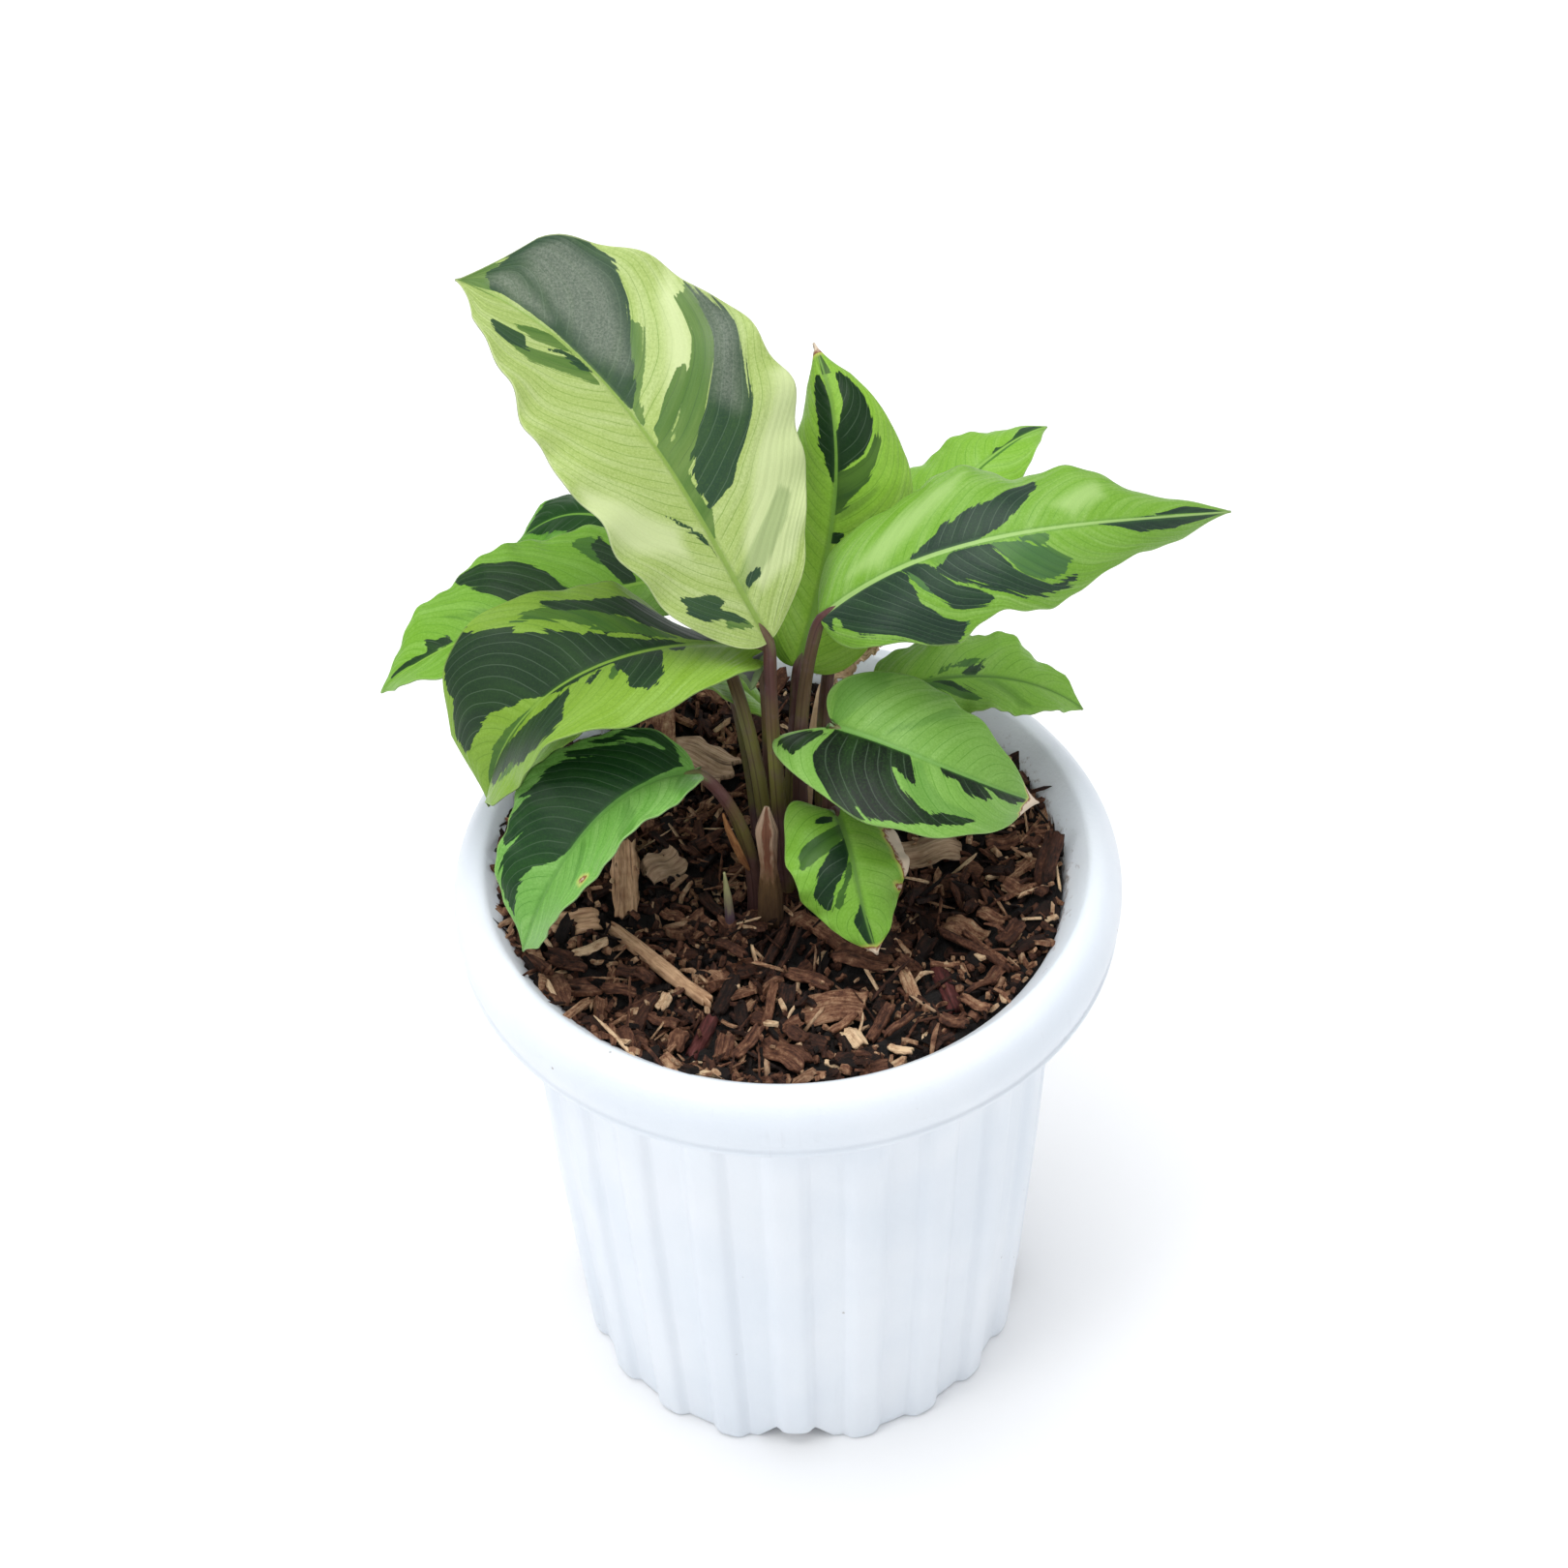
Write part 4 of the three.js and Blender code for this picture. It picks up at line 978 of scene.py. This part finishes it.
def soil_material():
    net = new_material("soil_dark")
    place = net.place()
    lumps = net.noise(place, .5, 5, .7)
    grains = net.noise(place, 2.4, 3, .7)
    color = net.ramp(lumps * .6 + grains * .4,
            [(.34, rgb(5, 3, 3)), (.5, rgb(14, 8, 6)), (.62, rgb(34, 21, 15)), (.75, rgb(66, 44, 31))])
    return net.surface(color, .82, lumps + grains * .6, 1.0, .0015)


def bark_material():
    """Bark: each chip has its own tone, from near black through brown to pale wood, fibres lie along it."""
    net = new_material("bark")
    tone = net.attribute("tone")
    u, v, _ = net.vector("grain")
    shift = tone * 90.0
    fibre = net.noise(net.combine(u * .2, v * 1.3, shift), 1, 5, .75)
    mottle = net.noise(net.place(), .5, 5, .75)
    value = tone + mottle * .7 - .35
    value = value + fibre - .5
    color = net.ramp(value, [(0, rgb(12, 7, 6)), (.22, rgb(32, 19, 14)), (.42, rgb(72, 43, 31)),
            (.58, rgb(114, 76, 56)), (.74, rgb(166, 128, 98)), (.95, rgb(226, 196, 158))])
    hue = net.noise(net.combine(tone * 700.0, 0.0), 1, 0)
    color = net.mix(net.smooth(hue, .5, .7) * .5, color, rgb(104, 50, 32), "MULTIPLY")
    color = net.mix(net.smooth(fibre, .56, .66) * .5, color, rgb(22, 13, 9))
    return net.surface(color, .7, fibre + mottle * .6, .9, .0007, .25)


def flake_shape(name, length, width, thick, seed, count=12):
    """A ragged chip of bark: splintered outline, two faces that bulge a little."""
    rng = random.Random(seed)
    bend = rng.uniform(-.16, .16) * length
    skew = rng.uniform(-.5, .5) * width / length
    outline = []
    for i in range(count):
        a = 2 * math.pi * (i + .5) / count
        c, s = math.cos(a), math.sin(a)
        x = length / 2 * math.copysign(abs(c) ** .6, c) * rng.uniform(.62 if abs(c) > .75 else .9, 1.1)
        y = width / 2 * math.copysign(abs(s) ** .55, s) * rng.uniform(.7, 1.12) + skew * x
        outline.append((x, y))
    points, faces = [], []
    for level in (thick / 2, -thick / 2):
        for x, y in outline:
            points.append((x, y, level * rng.uniform(.6, 1.1) + bend * ((2 * x / length) ** 2 - .4)))
    for level in (thick * .7, -thick * .6):
        points.append((rng.uniform(-.1, .1) * length, 0, level - bend * .4))
    top, bottom = 2 * count, 2 * count + 1
    for i in range(count):
        k = (i + 1) % count
        faces.append((i, k, top))
        faces.append((count + k, count + i, bottom))
        faces.append((k, i, count + i, count + k))
    shape = make_object(name, points, faces, smooth=False)
    set_vectors(shape.data, "grain", points)
    return shape


# Strewn bark: length, width and thickness of its shapes, density per square metre, range of scale, lift in
# mm, tilt in radians, range of tone, and how shy it is of the spots where larger pieces lie
BARK = {
    "bark_plates": dict(sizes=[(16, 7, 1.4), (13, 9, 1.2), (19, 5, 1.5), (12, 6.5, 1.3)], first=71,
        corners=12, density=7000.0, seed=17, scale=(.6, 1.05), lift=(.2, 2), tilt=.35, tones=(.2, .68),
        shy=2.5),
    "bark_flakes": dict(sizes=[(9, 4.5, 1.2), (12, 4, 1.3), (7, 4.5, 1), (14, 3.2, 1.4), (6, 4, 1.6),
        (10, 5.5, 1.1)], first=11, corners=12, density=72000.0, seed=3, scale=(.45, 1.1), lift=(-1, 2),
        tilt=.7, tones=(.02, .72), shy=1),
    "bark_splinters": dict(sizes=[(10, 1.3, .8), (14, 1, .7), (7, 1.6, .9), (17, .8, .6)], first=31,
        corners=8, density=90000.0, seed=5, scale=(.4, 1.1), lift=(0, 2.6), tilt=.7, tones=(.05, .95),
        shy=.7),
    "bark_crumbs": dict(sizes=[(2.6, 2, 1.4), (3.8, 1.6, 1.2), (1.8, 1.6, 1.3), (5, 1.1, .8)], first=51,
        corners=6, density=290000.0, seed=8, scale=(.4, 1.2), lift=(-.5, 1.5), tilt=1.2, tones=(0, .8),
        shy=.3),
}


def scatter_tree(shapes, material, kind):
    """Strews shapes over a surface, each turned, tilted, scaled and toned at random."""
    seed, scale, lift, tilt, tones = (kind[key] for key in ("seed", "scale", "lift", "tilt", "tones"))
    tree = bpy.data.node_groups.new("Strew", "GeometryNodeTree")
    face = tree.interface
    face.new_socket(name="Ground", in_out="INPUT", socket_type="NodeSocketGeometry")
    density = face.new_socket(name="Density", in_out="INPUT", socket_type="NodeSocketFloat")
    face.new_socket(name="Strewn", in_out="OUTPUT", socket_type="NodeSocketGeometry")
    net = Net(tree)
    given = tree.nodes.new("NodeGroupInput")
    result = tree.nodes.new("NodeGroupOutput")
    free = net.wire("GeometryNodeInputNamedAttribute", {"Name": "free"}, "Attribute", data_type="FLOAT")
    points = net.add("GeometryNodeDistributePointsOnFaces",
            {"Mesh": given.outputs["Ground"], "Density": given.outputs["Density"]
            * net.math("POWER", free, kind["shy"]), "Seed": seed})
    spots = points.outputs["Points"]
    parts = net.add("GeometryNodeJoinGeometry")
    for shape in shapes:
        info = net.add("GeometryNodeObjectInfo", {"Object": shape, "As Instance": True})
        tree.links.new(info.outputs["Geometry"], parts.inputs[0])

    def randoms(low, high, number, kind="FLOAT_VECTOR"):
        node = tree.nodes.new("FunctionNodeRandomValue")
        node.data_type = kind
        slots = {"FLOAT_VECTOR": (0, 1, 0), "FLOAT": (2, 3, 1)}[kind]
        node.inputs[slots[0]].default_value = low
        node.inputs[slots[1]].default_value = high
        node.inputs["Seed"].default_value = seed * 10 + number
        return node.outputs[slots[2]]

    toned = net.add("GeometryNodeStoreNamedAttribute",
            {"Geometry": spots, "Name": "tone", "Value": randoms(tones[0], tones[1], 1, "FLOAT")},
            data_type="FLOAT", domain="POINT")
    placed = net.add("GeometryNodeInstanceOnPoints",
            {"Points": toned.outputs[0], "Instance": parts.outputs[0], "Pick Instance": True,
            "Rotation": randoms((-tilt, -tilt, 0.0), (tilt, tilt, 6.283), 2),
            "Scale": randoms((scale[0],) * 3, (scale[1],) * 3, 3)})
    moved = net.add("GeometryNodeTranslateInstances",
            {"Instances": placed.outputs[0], "Translation": randoms((0, 0, lift[0] * MM),
            (0, 0, lift[1] * MM), 4), "Local Space": False})
    real = net.add("GeometryNodeRealizeInstances", {"Geometry": moved.outputs[0]})
    done = net.add("GeometryNodeSetMaterial", {"Geometry": real.outputs[0], "Material": material})
    tree.links.new(done.outputs[0], result.inputs[0])
    return tree, density.identifier


def strew(ground, name, shapes, material, kind):
    tree, socket = scatter_tree(shapes, material, kind)
    carrier = bpy.data.objects.new(name + "_carrier", ground.data)
    bpy.context.scene.collection.objects.link(carrier)
    modifier = carrier.modifiers.new("strew", "NODES")
    modifier.node_group = tree
    modifier[socket] = kind["density"]
    return bake(carrier, name)


def build_litter(material):
    """Bark plates, flakes, splinters and crumbs over the soil, sparse where larger pieces lie."""
    columns, rings = 150, 44
    angle = np.linspace(0, 2 * np.pi, columns, endpoint=False)
    points = []
    bank = np.clip((np.cos(angle - math.radians(205)) - .25) / .3, 0, 1)
    for i in range(rings):
        r = 61.4 * (1 - i / rings) + (3.6 * bank if i == 0 else 0)
        x, y = r * np.cos(angle), r * np.sin(angle)
        z = soil_height(x, y)
        if i == 0:
            z = np.maximum(z, 142.2 + (r - 62.6) * 1.2)
        points.append(np.stack([x, y, z], -1))
    points = np.concatenate(points)
    ground = make_object("soil_top", points, grid_faces(rings, columns, close=True))
    free = np.ones(len(points))
    lying = [(s["at"][0], s["at"][1], s["turn"], s["size"][0], s["size"][1]) for s in SCRAPS.values()]
    lying += [chip[:5] for chip in CHIPS]
    for x, y, turn, length, width in lying:
        turn = math.radians(turn)
        dx, dy = points[:, 0] - x, points[:, 1] - y
        u = np.abs(dx * math.cos(turn) + dy * math.sin(turn))
        v = np.abs(dy * math.cos(turn) - dx * math.sin(turn))
        clear = np.maximum(u - length * .5, v - width * .5)
        free = np.minimum(free, np.clip(clear / 3.5, .03, 1))
    set_values(ground.data, "free", free)
    pieces = []
    for name, kind in BARK.items():
        shapes = [flake_shape(f"{name}_{i}", *size, kind["first"] + i, kind["corners"]) for i,
                size in enumerate(kind["sizes"])]
        pieces.append(strew(ground, name, shapes, material, kind))
        for shape in shapes:
            bpy.data.objects.remove(shape)
    bpy.data.objects.remove(ground)
    return pieces


# Loose pieces and bracts

SCRAPS = {
    "twig_pale": dict(at=(-29, -23.3, 138.8), turn=-49, tilt=2, size=(36, 4, 3), bend=.4),
    "twig_dark": dict(at=(-20, -45.3, 138.2), turn=66, tilt=4, size=(13, 4, 3), bend=.2),
    "chip_upright": dict(at=(-36.5, 2.5, 139.5), turn=91, tilt=10, size=(22, 7, 1.4), bend=.6),
    "chip_left": dict(at=(-48, -9, 138.6), turn=8, tilt=-6, size=(13, 8, 1.6), bend=.5),
    "leaf_scrap": dict(at=(-28, 7, 139.2), turn=29, tilt=10, size=(10, 9, 1), bend=1.2),
    "litter_back": dict(at=(-20, 39, 141.2), turn=-33, tilt=6, size=(21, 13, 1.2), bend=1.2),
    "litter_right": dict(at=(32, 8, 139.8), turn=14, tilt=-8, size=(17, 11, 1), bend=1.4),
    "stem_dark": dict(at=(34, -33, 138.4), turn=-76, tilt=3, size=(16, 4.5, 3), bend=.3),
}


# Larger bark chips lying on top: x, y, turn, length, width, thickness, tilt, bend, tone from black to pale
CHIPS = [
    (-14.5, -33, 66, 12, 4, 2.2, 4, .3, .2), (9, -38, 1, 16, 9.5, 1.1, 4, .8, .62),
        (4, -29, -30, 12, 4, 1.4, 3, .5, .5),
    (16, -24, -13, 14, 6.2, 1.2, -4, .8, .5), (-3, -18, 65, 12, 2.6, 1.6, 10, .4, .36),
    (0, -20, 64, 12, 1.8, 1.4, 14, .4, .3), (13, -48, -56, 7, 5, 1, 6, .6, .93),
    (19, -44, 61, 12, 3, 1.3, 8, .3, .46), (23, -53, -20, 6, 2.6, .9, 2, .3, .9),
    (26, -33, -68, 13, 3.2, 1, -6, .9, .74), (41, -24, -42, 23, 2.1, 1.5, 3, .5, .45),
    (43, -24, -51, 15, 1.4, 1.2, 5, .3, .55), (39, -17, -37, 12, 6.6, 1, 5, .9, .66),
    (45, -14, -38, 8, 3.5, 1, 8, .5, .6), (52, -5, -30, 8, 5.6, 1.2, 10, .9, .6),
    (-44, -20, 25, 9, 2.8, 1.1, 3, .3, .95), (-38, -32, -18, 9, 3.2, 1, 2, .5, .5),
    (-15, -51, 77, 8, 4.4, 1, 6, .7, .5), (-10, -50, 55, 11, 3.3, 1.1, 6, .5, .5),
    (-5, -38, 78, 14, 2.4, 1.3, 6, .5, .55), (-28, -37, 64, 5, 3, 1, 5, .4, .86),
    (-8, -21, -82, 7, .9, .7, 12, .3, .95), (-12, -29, -86, 5, 1.5, 1, 14, .2, .97),
    (7, -22, 52, 4, 1.6, .9, 16, .5, .96), (8, -56, -23, 3, 1.5, 1, 6, .4, 1),
    (35, -46, -24, 7, 3.4, 1.1, 4, .5, .5), (40, -41, -35, 8, 3.2, 1, 4, .5, .62),
    (-2, -52, -46, 13, 8, 1.2, 6, .9, .5), (11, -44, 35, 8, 2, 1.2, 8, .4, .62),
    (23, -46, 39, 9, 2, 1.2, 8, .3, .5), (-26, -8, -37, 6, 3, 1, 8, .5, .58),
    (-17, -6, -60, 10, 3.4, 1.2, 8, .5, .3), (58.5, -1, 69, 14, 5.4, 1.6, 38, .8, .36),
    (49, 10, 6, 8, 5, 1.1, 8, .8, .5), (34, -27, -8, 7, 1.3, 1.1, 6, .3, .62),
    (-28, -42, -29, 8, 3.2, 1, 4, .5, .5), (-25, -48, 65, 6, 4.4, 1.1, 8, .6, .55),
    (-13, -20, -43, 9, 3, 1.2, 8, .4, .42), (-49, -25, -25, 10, 3.4, 1.1, 4, .5, .42),
    (-36, -26, -9, 5, 3.6, 1, 6, .5, .38), (-50, -22, -31, 10, 4, 1.2, 4, .6, .36),
    (-33, -27, -36, 7, 4.2, 1, 7, .6, .46), (1, -46, -44, 7, 4, 1.1, 8, .6, .4),
    (49, -20, 46, 8, 4.4, 1.1, 10, .6, .4), (45, -31, 47, 6, 3.6, 1, 7, .6, .44),
]


def scrap_shape(scrap, seed):
    """Splintered slab or twig with ragged ends: points, faces, and grain that runs along it."""
    rng = np.random.default_rng(seed)
    length, width, thick = scrap["size"]
    across_count = 13
    along_count = max(14, int(length * 2))
    u = np.linspace(-.5, .5, along_count)
    v = np.linspace(-.5, .5, across_count)
    ragged = [np.interp(np.arange(across_count), np.arange(0, across_count, 2),
            rng.uniform(0, 1, 7)) for _ in (0, 1)]
    edge = [np.interp(np.arange(along_count), np.linspace(0, along_count - 1, 9),
            rng.uniform(0, 1, 9)) for _ in (0, 1)]
    bump_phase = rng.uniform(0, 6, 4)
    U, V = np.meshgrid(u, v, indexing="ij")
    end = np.where(U < 0, ragged[0][None, :], ragged[1][None, :])
    side = np.where(V < 0, edge[0][:, None], edge[1][:, None])
    x = U * length * (1 - .22 * end * np.abs(2 * U) ** 4)
    y = V * width * (1 - .24 * side) * (1 - .18 * np.abs(2 * U) ** 3)
    round_ = thick / 2 * np.clip(1 - np.abs(2 * V) ** (2.2 if thick > 2 else 6), 0, 1) ** .5
    warp = scrap["bend"] * (np.sin(2.2 * U * math.pi + bump_phase[0]) * .8 + .5
            * np.sin(3 * V * math.pi + bump_phase[1]))
    ridge = .12 * np.sin(V * 26 + bump_phase[2] + 2 * np.sin(U * 6)) + .1 * np.sin(U * 23 + bump_phase[3])
    points = []
    for sign in (1, -1):
        z = warp + sign * (np.maximum(round_, .12) + ridge * .6)
        points.append(np.stack([x, y, z], -1).reshape(-1, 3))
    points = np.concatenate(points)
    faces = [f[::-1] for f in sheet_faces(along_count, across_count)]
    place = (Matrix.Translation(Vector(scrap["at"])) @ Matrix.Rotation(math.radians(scrap["turn"]), 4,
            "Z") @ Matrix.Rotation(math.radians(-scrap["tilt"]), 4, "Y"))
    rotation = np.array(place)
    placed = points @ rotation[:3, :3].T + rotation[:3, 3]
    grain = np.concatenate([points[:, :2], np.full((len(points), 1), seed * 3.1)], 1)
    return placed, faces, grain


def build_scrap(name, scrap, material, seed):
    placed, faces, grain = scrap_shape(scrap, seed)
    piece = make_object(name + "_fine", placed, faces, material)
    set_vectors(piece.data, "grain", grain)
    return piece


def build_chips(material):
    points, faces, grains, tones, start = [], [], [], [], 0
    for number, (x, y, turn, length, width, thick, tilt, bend, tone) in enumerate(CHIPS):
        lift = 1.9 + length / 2 * math.sin(math.radians(abs(tilt))) * .6
        scrap = dict(at=(x, y, float(soil_height(x, y)) + lift), turn=turn, tilt=tilt,
                size=(length, width, thick), bend=bend)
        placed, shape_faces, grain = scrap_shape(scrap, 200 + number)
        points.append(placed)
        grains.append(grain)
        tones.append(np.full(len(placed), tone))
        faces += [tuple(i + start for i in f) for f in shape_faces]
        start += len(placed)
    piece = make_object("bark_chips", np.concatenate(points), faces, material)
    set_vectors(piece.data, "grain", np.concatenate(grains))
    set_values(piece.data, "tone", np.concatenate(tones))
    return piece


def build_bract(name, path, radii, flat, material, ridges):
    path, radii = np.array(path, float), np.array(radii, float)
    steps, sides = 40, 28
    knots = np.linspace(0, 1, len(path))
    u = np.linspace(0, 1, steps)
    smooth_path = np.stack([np.interp(u, knots, path[:, i]) for i in range(3)], -1)
    smooth_radii = np.interp(u, knots, radii)
    kernel = np.array([1, 2, 3, 2, 1]) / 9
    for i in range(3):
        smooth_path[2:-2, i] = np.convolve(smooth_path[:, i], kernel, "valid")
    points = tube_points(smooth_path, smooth_radii, sides, flat, ridges)
    piece = make_object(name + "_fine", points, tube_faces(steps, sides), material)
    along = np.repeat(u * 20, sides)
    turn = np.tile(np.arange(sides) / sides * 4, steps)
    set_vectors(piece.data, "grain", np.stack([along, turn, np.zeros(len(points))], -1))
    return piece


# The whole plant

def finish_piece(piece, slot, *nodes):
    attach(piece, "root")
    if nodes:
        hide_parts(*nodes)


skin = leaf_skin()
stalk = stalk_material()
dry = dry_material("dead_leaf", (226, 194, 158), (172, 132, 98))
bark = bark_material()
finish_piece(build_pot(pot_material()), "pot_plastic", "pot")
finish_piece(build_soil(soil_material()), "soil_mix", "soil")
for litter in build_litter(bark) + [build_chips(bark)]:
    finish_piece(litter, "soil_mix")
for leaf_name, leaf_shape in LEAVES.items():
    blade_look, stem_look, leaf_slot = dry, dry, "dry_leaf"
    if leaf_name in TONES:
        blade_look, stem_look, leaf_slot = leaf_material(leaf_name, skin), stalk, "leaf_green"
    finish_piece(build_leaf(leaf_name, leaf_shape, [blade_look, stem_look]), leaf_slot, leaf_name)
    if leaf_name == "leaf_left_big":
        finish_piece(build_fold(blade_look), leaf_slot)

wood_pale = dry_material("wood_pale", (204, 166, 130), (146, 106, 78))
wood_dark = dry_material("wood_dark", (84, 40, 38), (38, 20, 18))
litter_grey = dry_material("litter_grey", (184, 156, 128), (124, 96, 74))
for number, (scrap_name, scrap) in enumerate(SCRAPS.items()):
    if "dark" in scrap_name:
        look, slot_name = wood_dark, "dark_wood"
    else:
        look, slot_name = wood_pale if scrap_name.startswith(("twig", "chip")) else litter_grey, "pale_wood"
    finish_piece(build_scrap(scrap_name, scrap, look, number + 1), slot_name, scrap_name)

sheath = build_bract("dry_sheath", [(-4.2, -10.5, 128), (-4.2, -10.5, 137), (-4, -9.9, 146),
        (-4.1, -9, 154), (-4.3, -7.9, 164.5), (-4, -7.2, 171)], (2.5, 2.7, 2.6, 1.7, 2.4, .5), .55,
        sheath_material(), .14)
finish_piece(sheath, "dry_leaf", "dry_sheath")
shoot_skin = shoot_material()
shoot = build_bract("new_shoot", [(-13, -11, 128), (-13, -11, 137), (-13.4, -10.2, 146),
        (-13.9, -9.8, 153.5)], (1.1, 1.2, .9, .25), .9, shoot_skin, .03)
finish_piece(shoot, "leaf_green", "new_shoot")
husk = build_bract("stalk_husk", [(-13.6, -6.8, 169), (-12.7, -7.6, 165), (-11.2, -7.8, 160),
        (-9.8, -7.6, 155), (-8.4, -7, 151)], (.2, .6, .8, .8, .3), .5,
        dry_material("husk", (166, 116, 72), (112, 68, 44)), .15)
finish_piece(husk, "dry_leaf")


# Studio

def build_floor():
    net = new_material("studio_floor")
    tint = net.noise(net.place(), .004, 2)
    material = net.surface(net.mix(tint, (.93, .93, .935, 1), (.95, .95, .95, 1)), .9)
    size = 6000
    corners = [(-size, -size, -.05), (size, -size, -.05), (size, size, -.05), (-size, size, -.05)]
    make_object("floor", corners, [(0, 1, 2, 3)], material)


def add_light(name, place, aim, size, power):
    data = bpy.data.lights.new(name, "AREA")
    data.shape = "DISK"
    data.size = size
    data.energy = power
    light = bpy.data.objects.new(name, data)
    light.location = place
    light.rotation_mode = "QUATERNION"
    light.rotation_quaternion = (Vector(aim) - Vector(place)).to_track_quat("-Z", "Y")
    bpy.context.scene.collection.objects.link(light)


def add_camera():
    data = bpy.data.cameras.new("camera")
    data.sensor_width = 36
    data.lens = 102.8
    data.clip_start, data.clip_end = .05, 50
    tilt, roll, distance = math.radians(44.83), math.radians(-2.07), 1.0
    height_angle = math.radians(45.75)
    forward = Vector((0, math.cos(tilt), -math.sin(tilt)))
    side = Vector((1, 0, 0))
    up = side.cross(forward)
    right = math.cos(roll) * side + math.sin(roll) * up
    top = -math.sin(roll) * side + math.cos(roll) * up
    place = Vector((0, -distance * math.cos(height_angle), .148 + distance * math.sin(height_angle)))
    camera = bpy.data.objects.new("camera", data)
    camera.matrix_world = Matrix(((right.x, top.x, -forward.x, place.x),
            (right.y, top.y, -forward.y, place.y), (right.z, top.z, -forward.z, place.z), (0, 0, 0, 1)))
    bpy.context.scene.collection.objects.link(camera)
    bpy.context.scene.camera = camera


build_floor()
world = bpy.data.worlds.new("studio")
world.use_nodes = True
backdrop = next(n for n in world.node_tree.nodes if n.type == "BACKGROUND")
backdrop.inputs["Color"].default_value = (.95, .97, 1.0, 1)
backdrop.inputs["Strength"].default_value = .56
bpy.context.scene.world = world
add_light("top", (-.15, .1, 1.9), (0, 0, .1), 1.8, 29.5)
add_light("key", (-1.3, -.9, 1.3), (0, 0, .15), .9, 9)
add_light("fill", (1.3, -.6, .9), (0, 0, .15), .9, 3)
add_camera()
bpy.context.scene.view_settings.view_transform = "Standard"
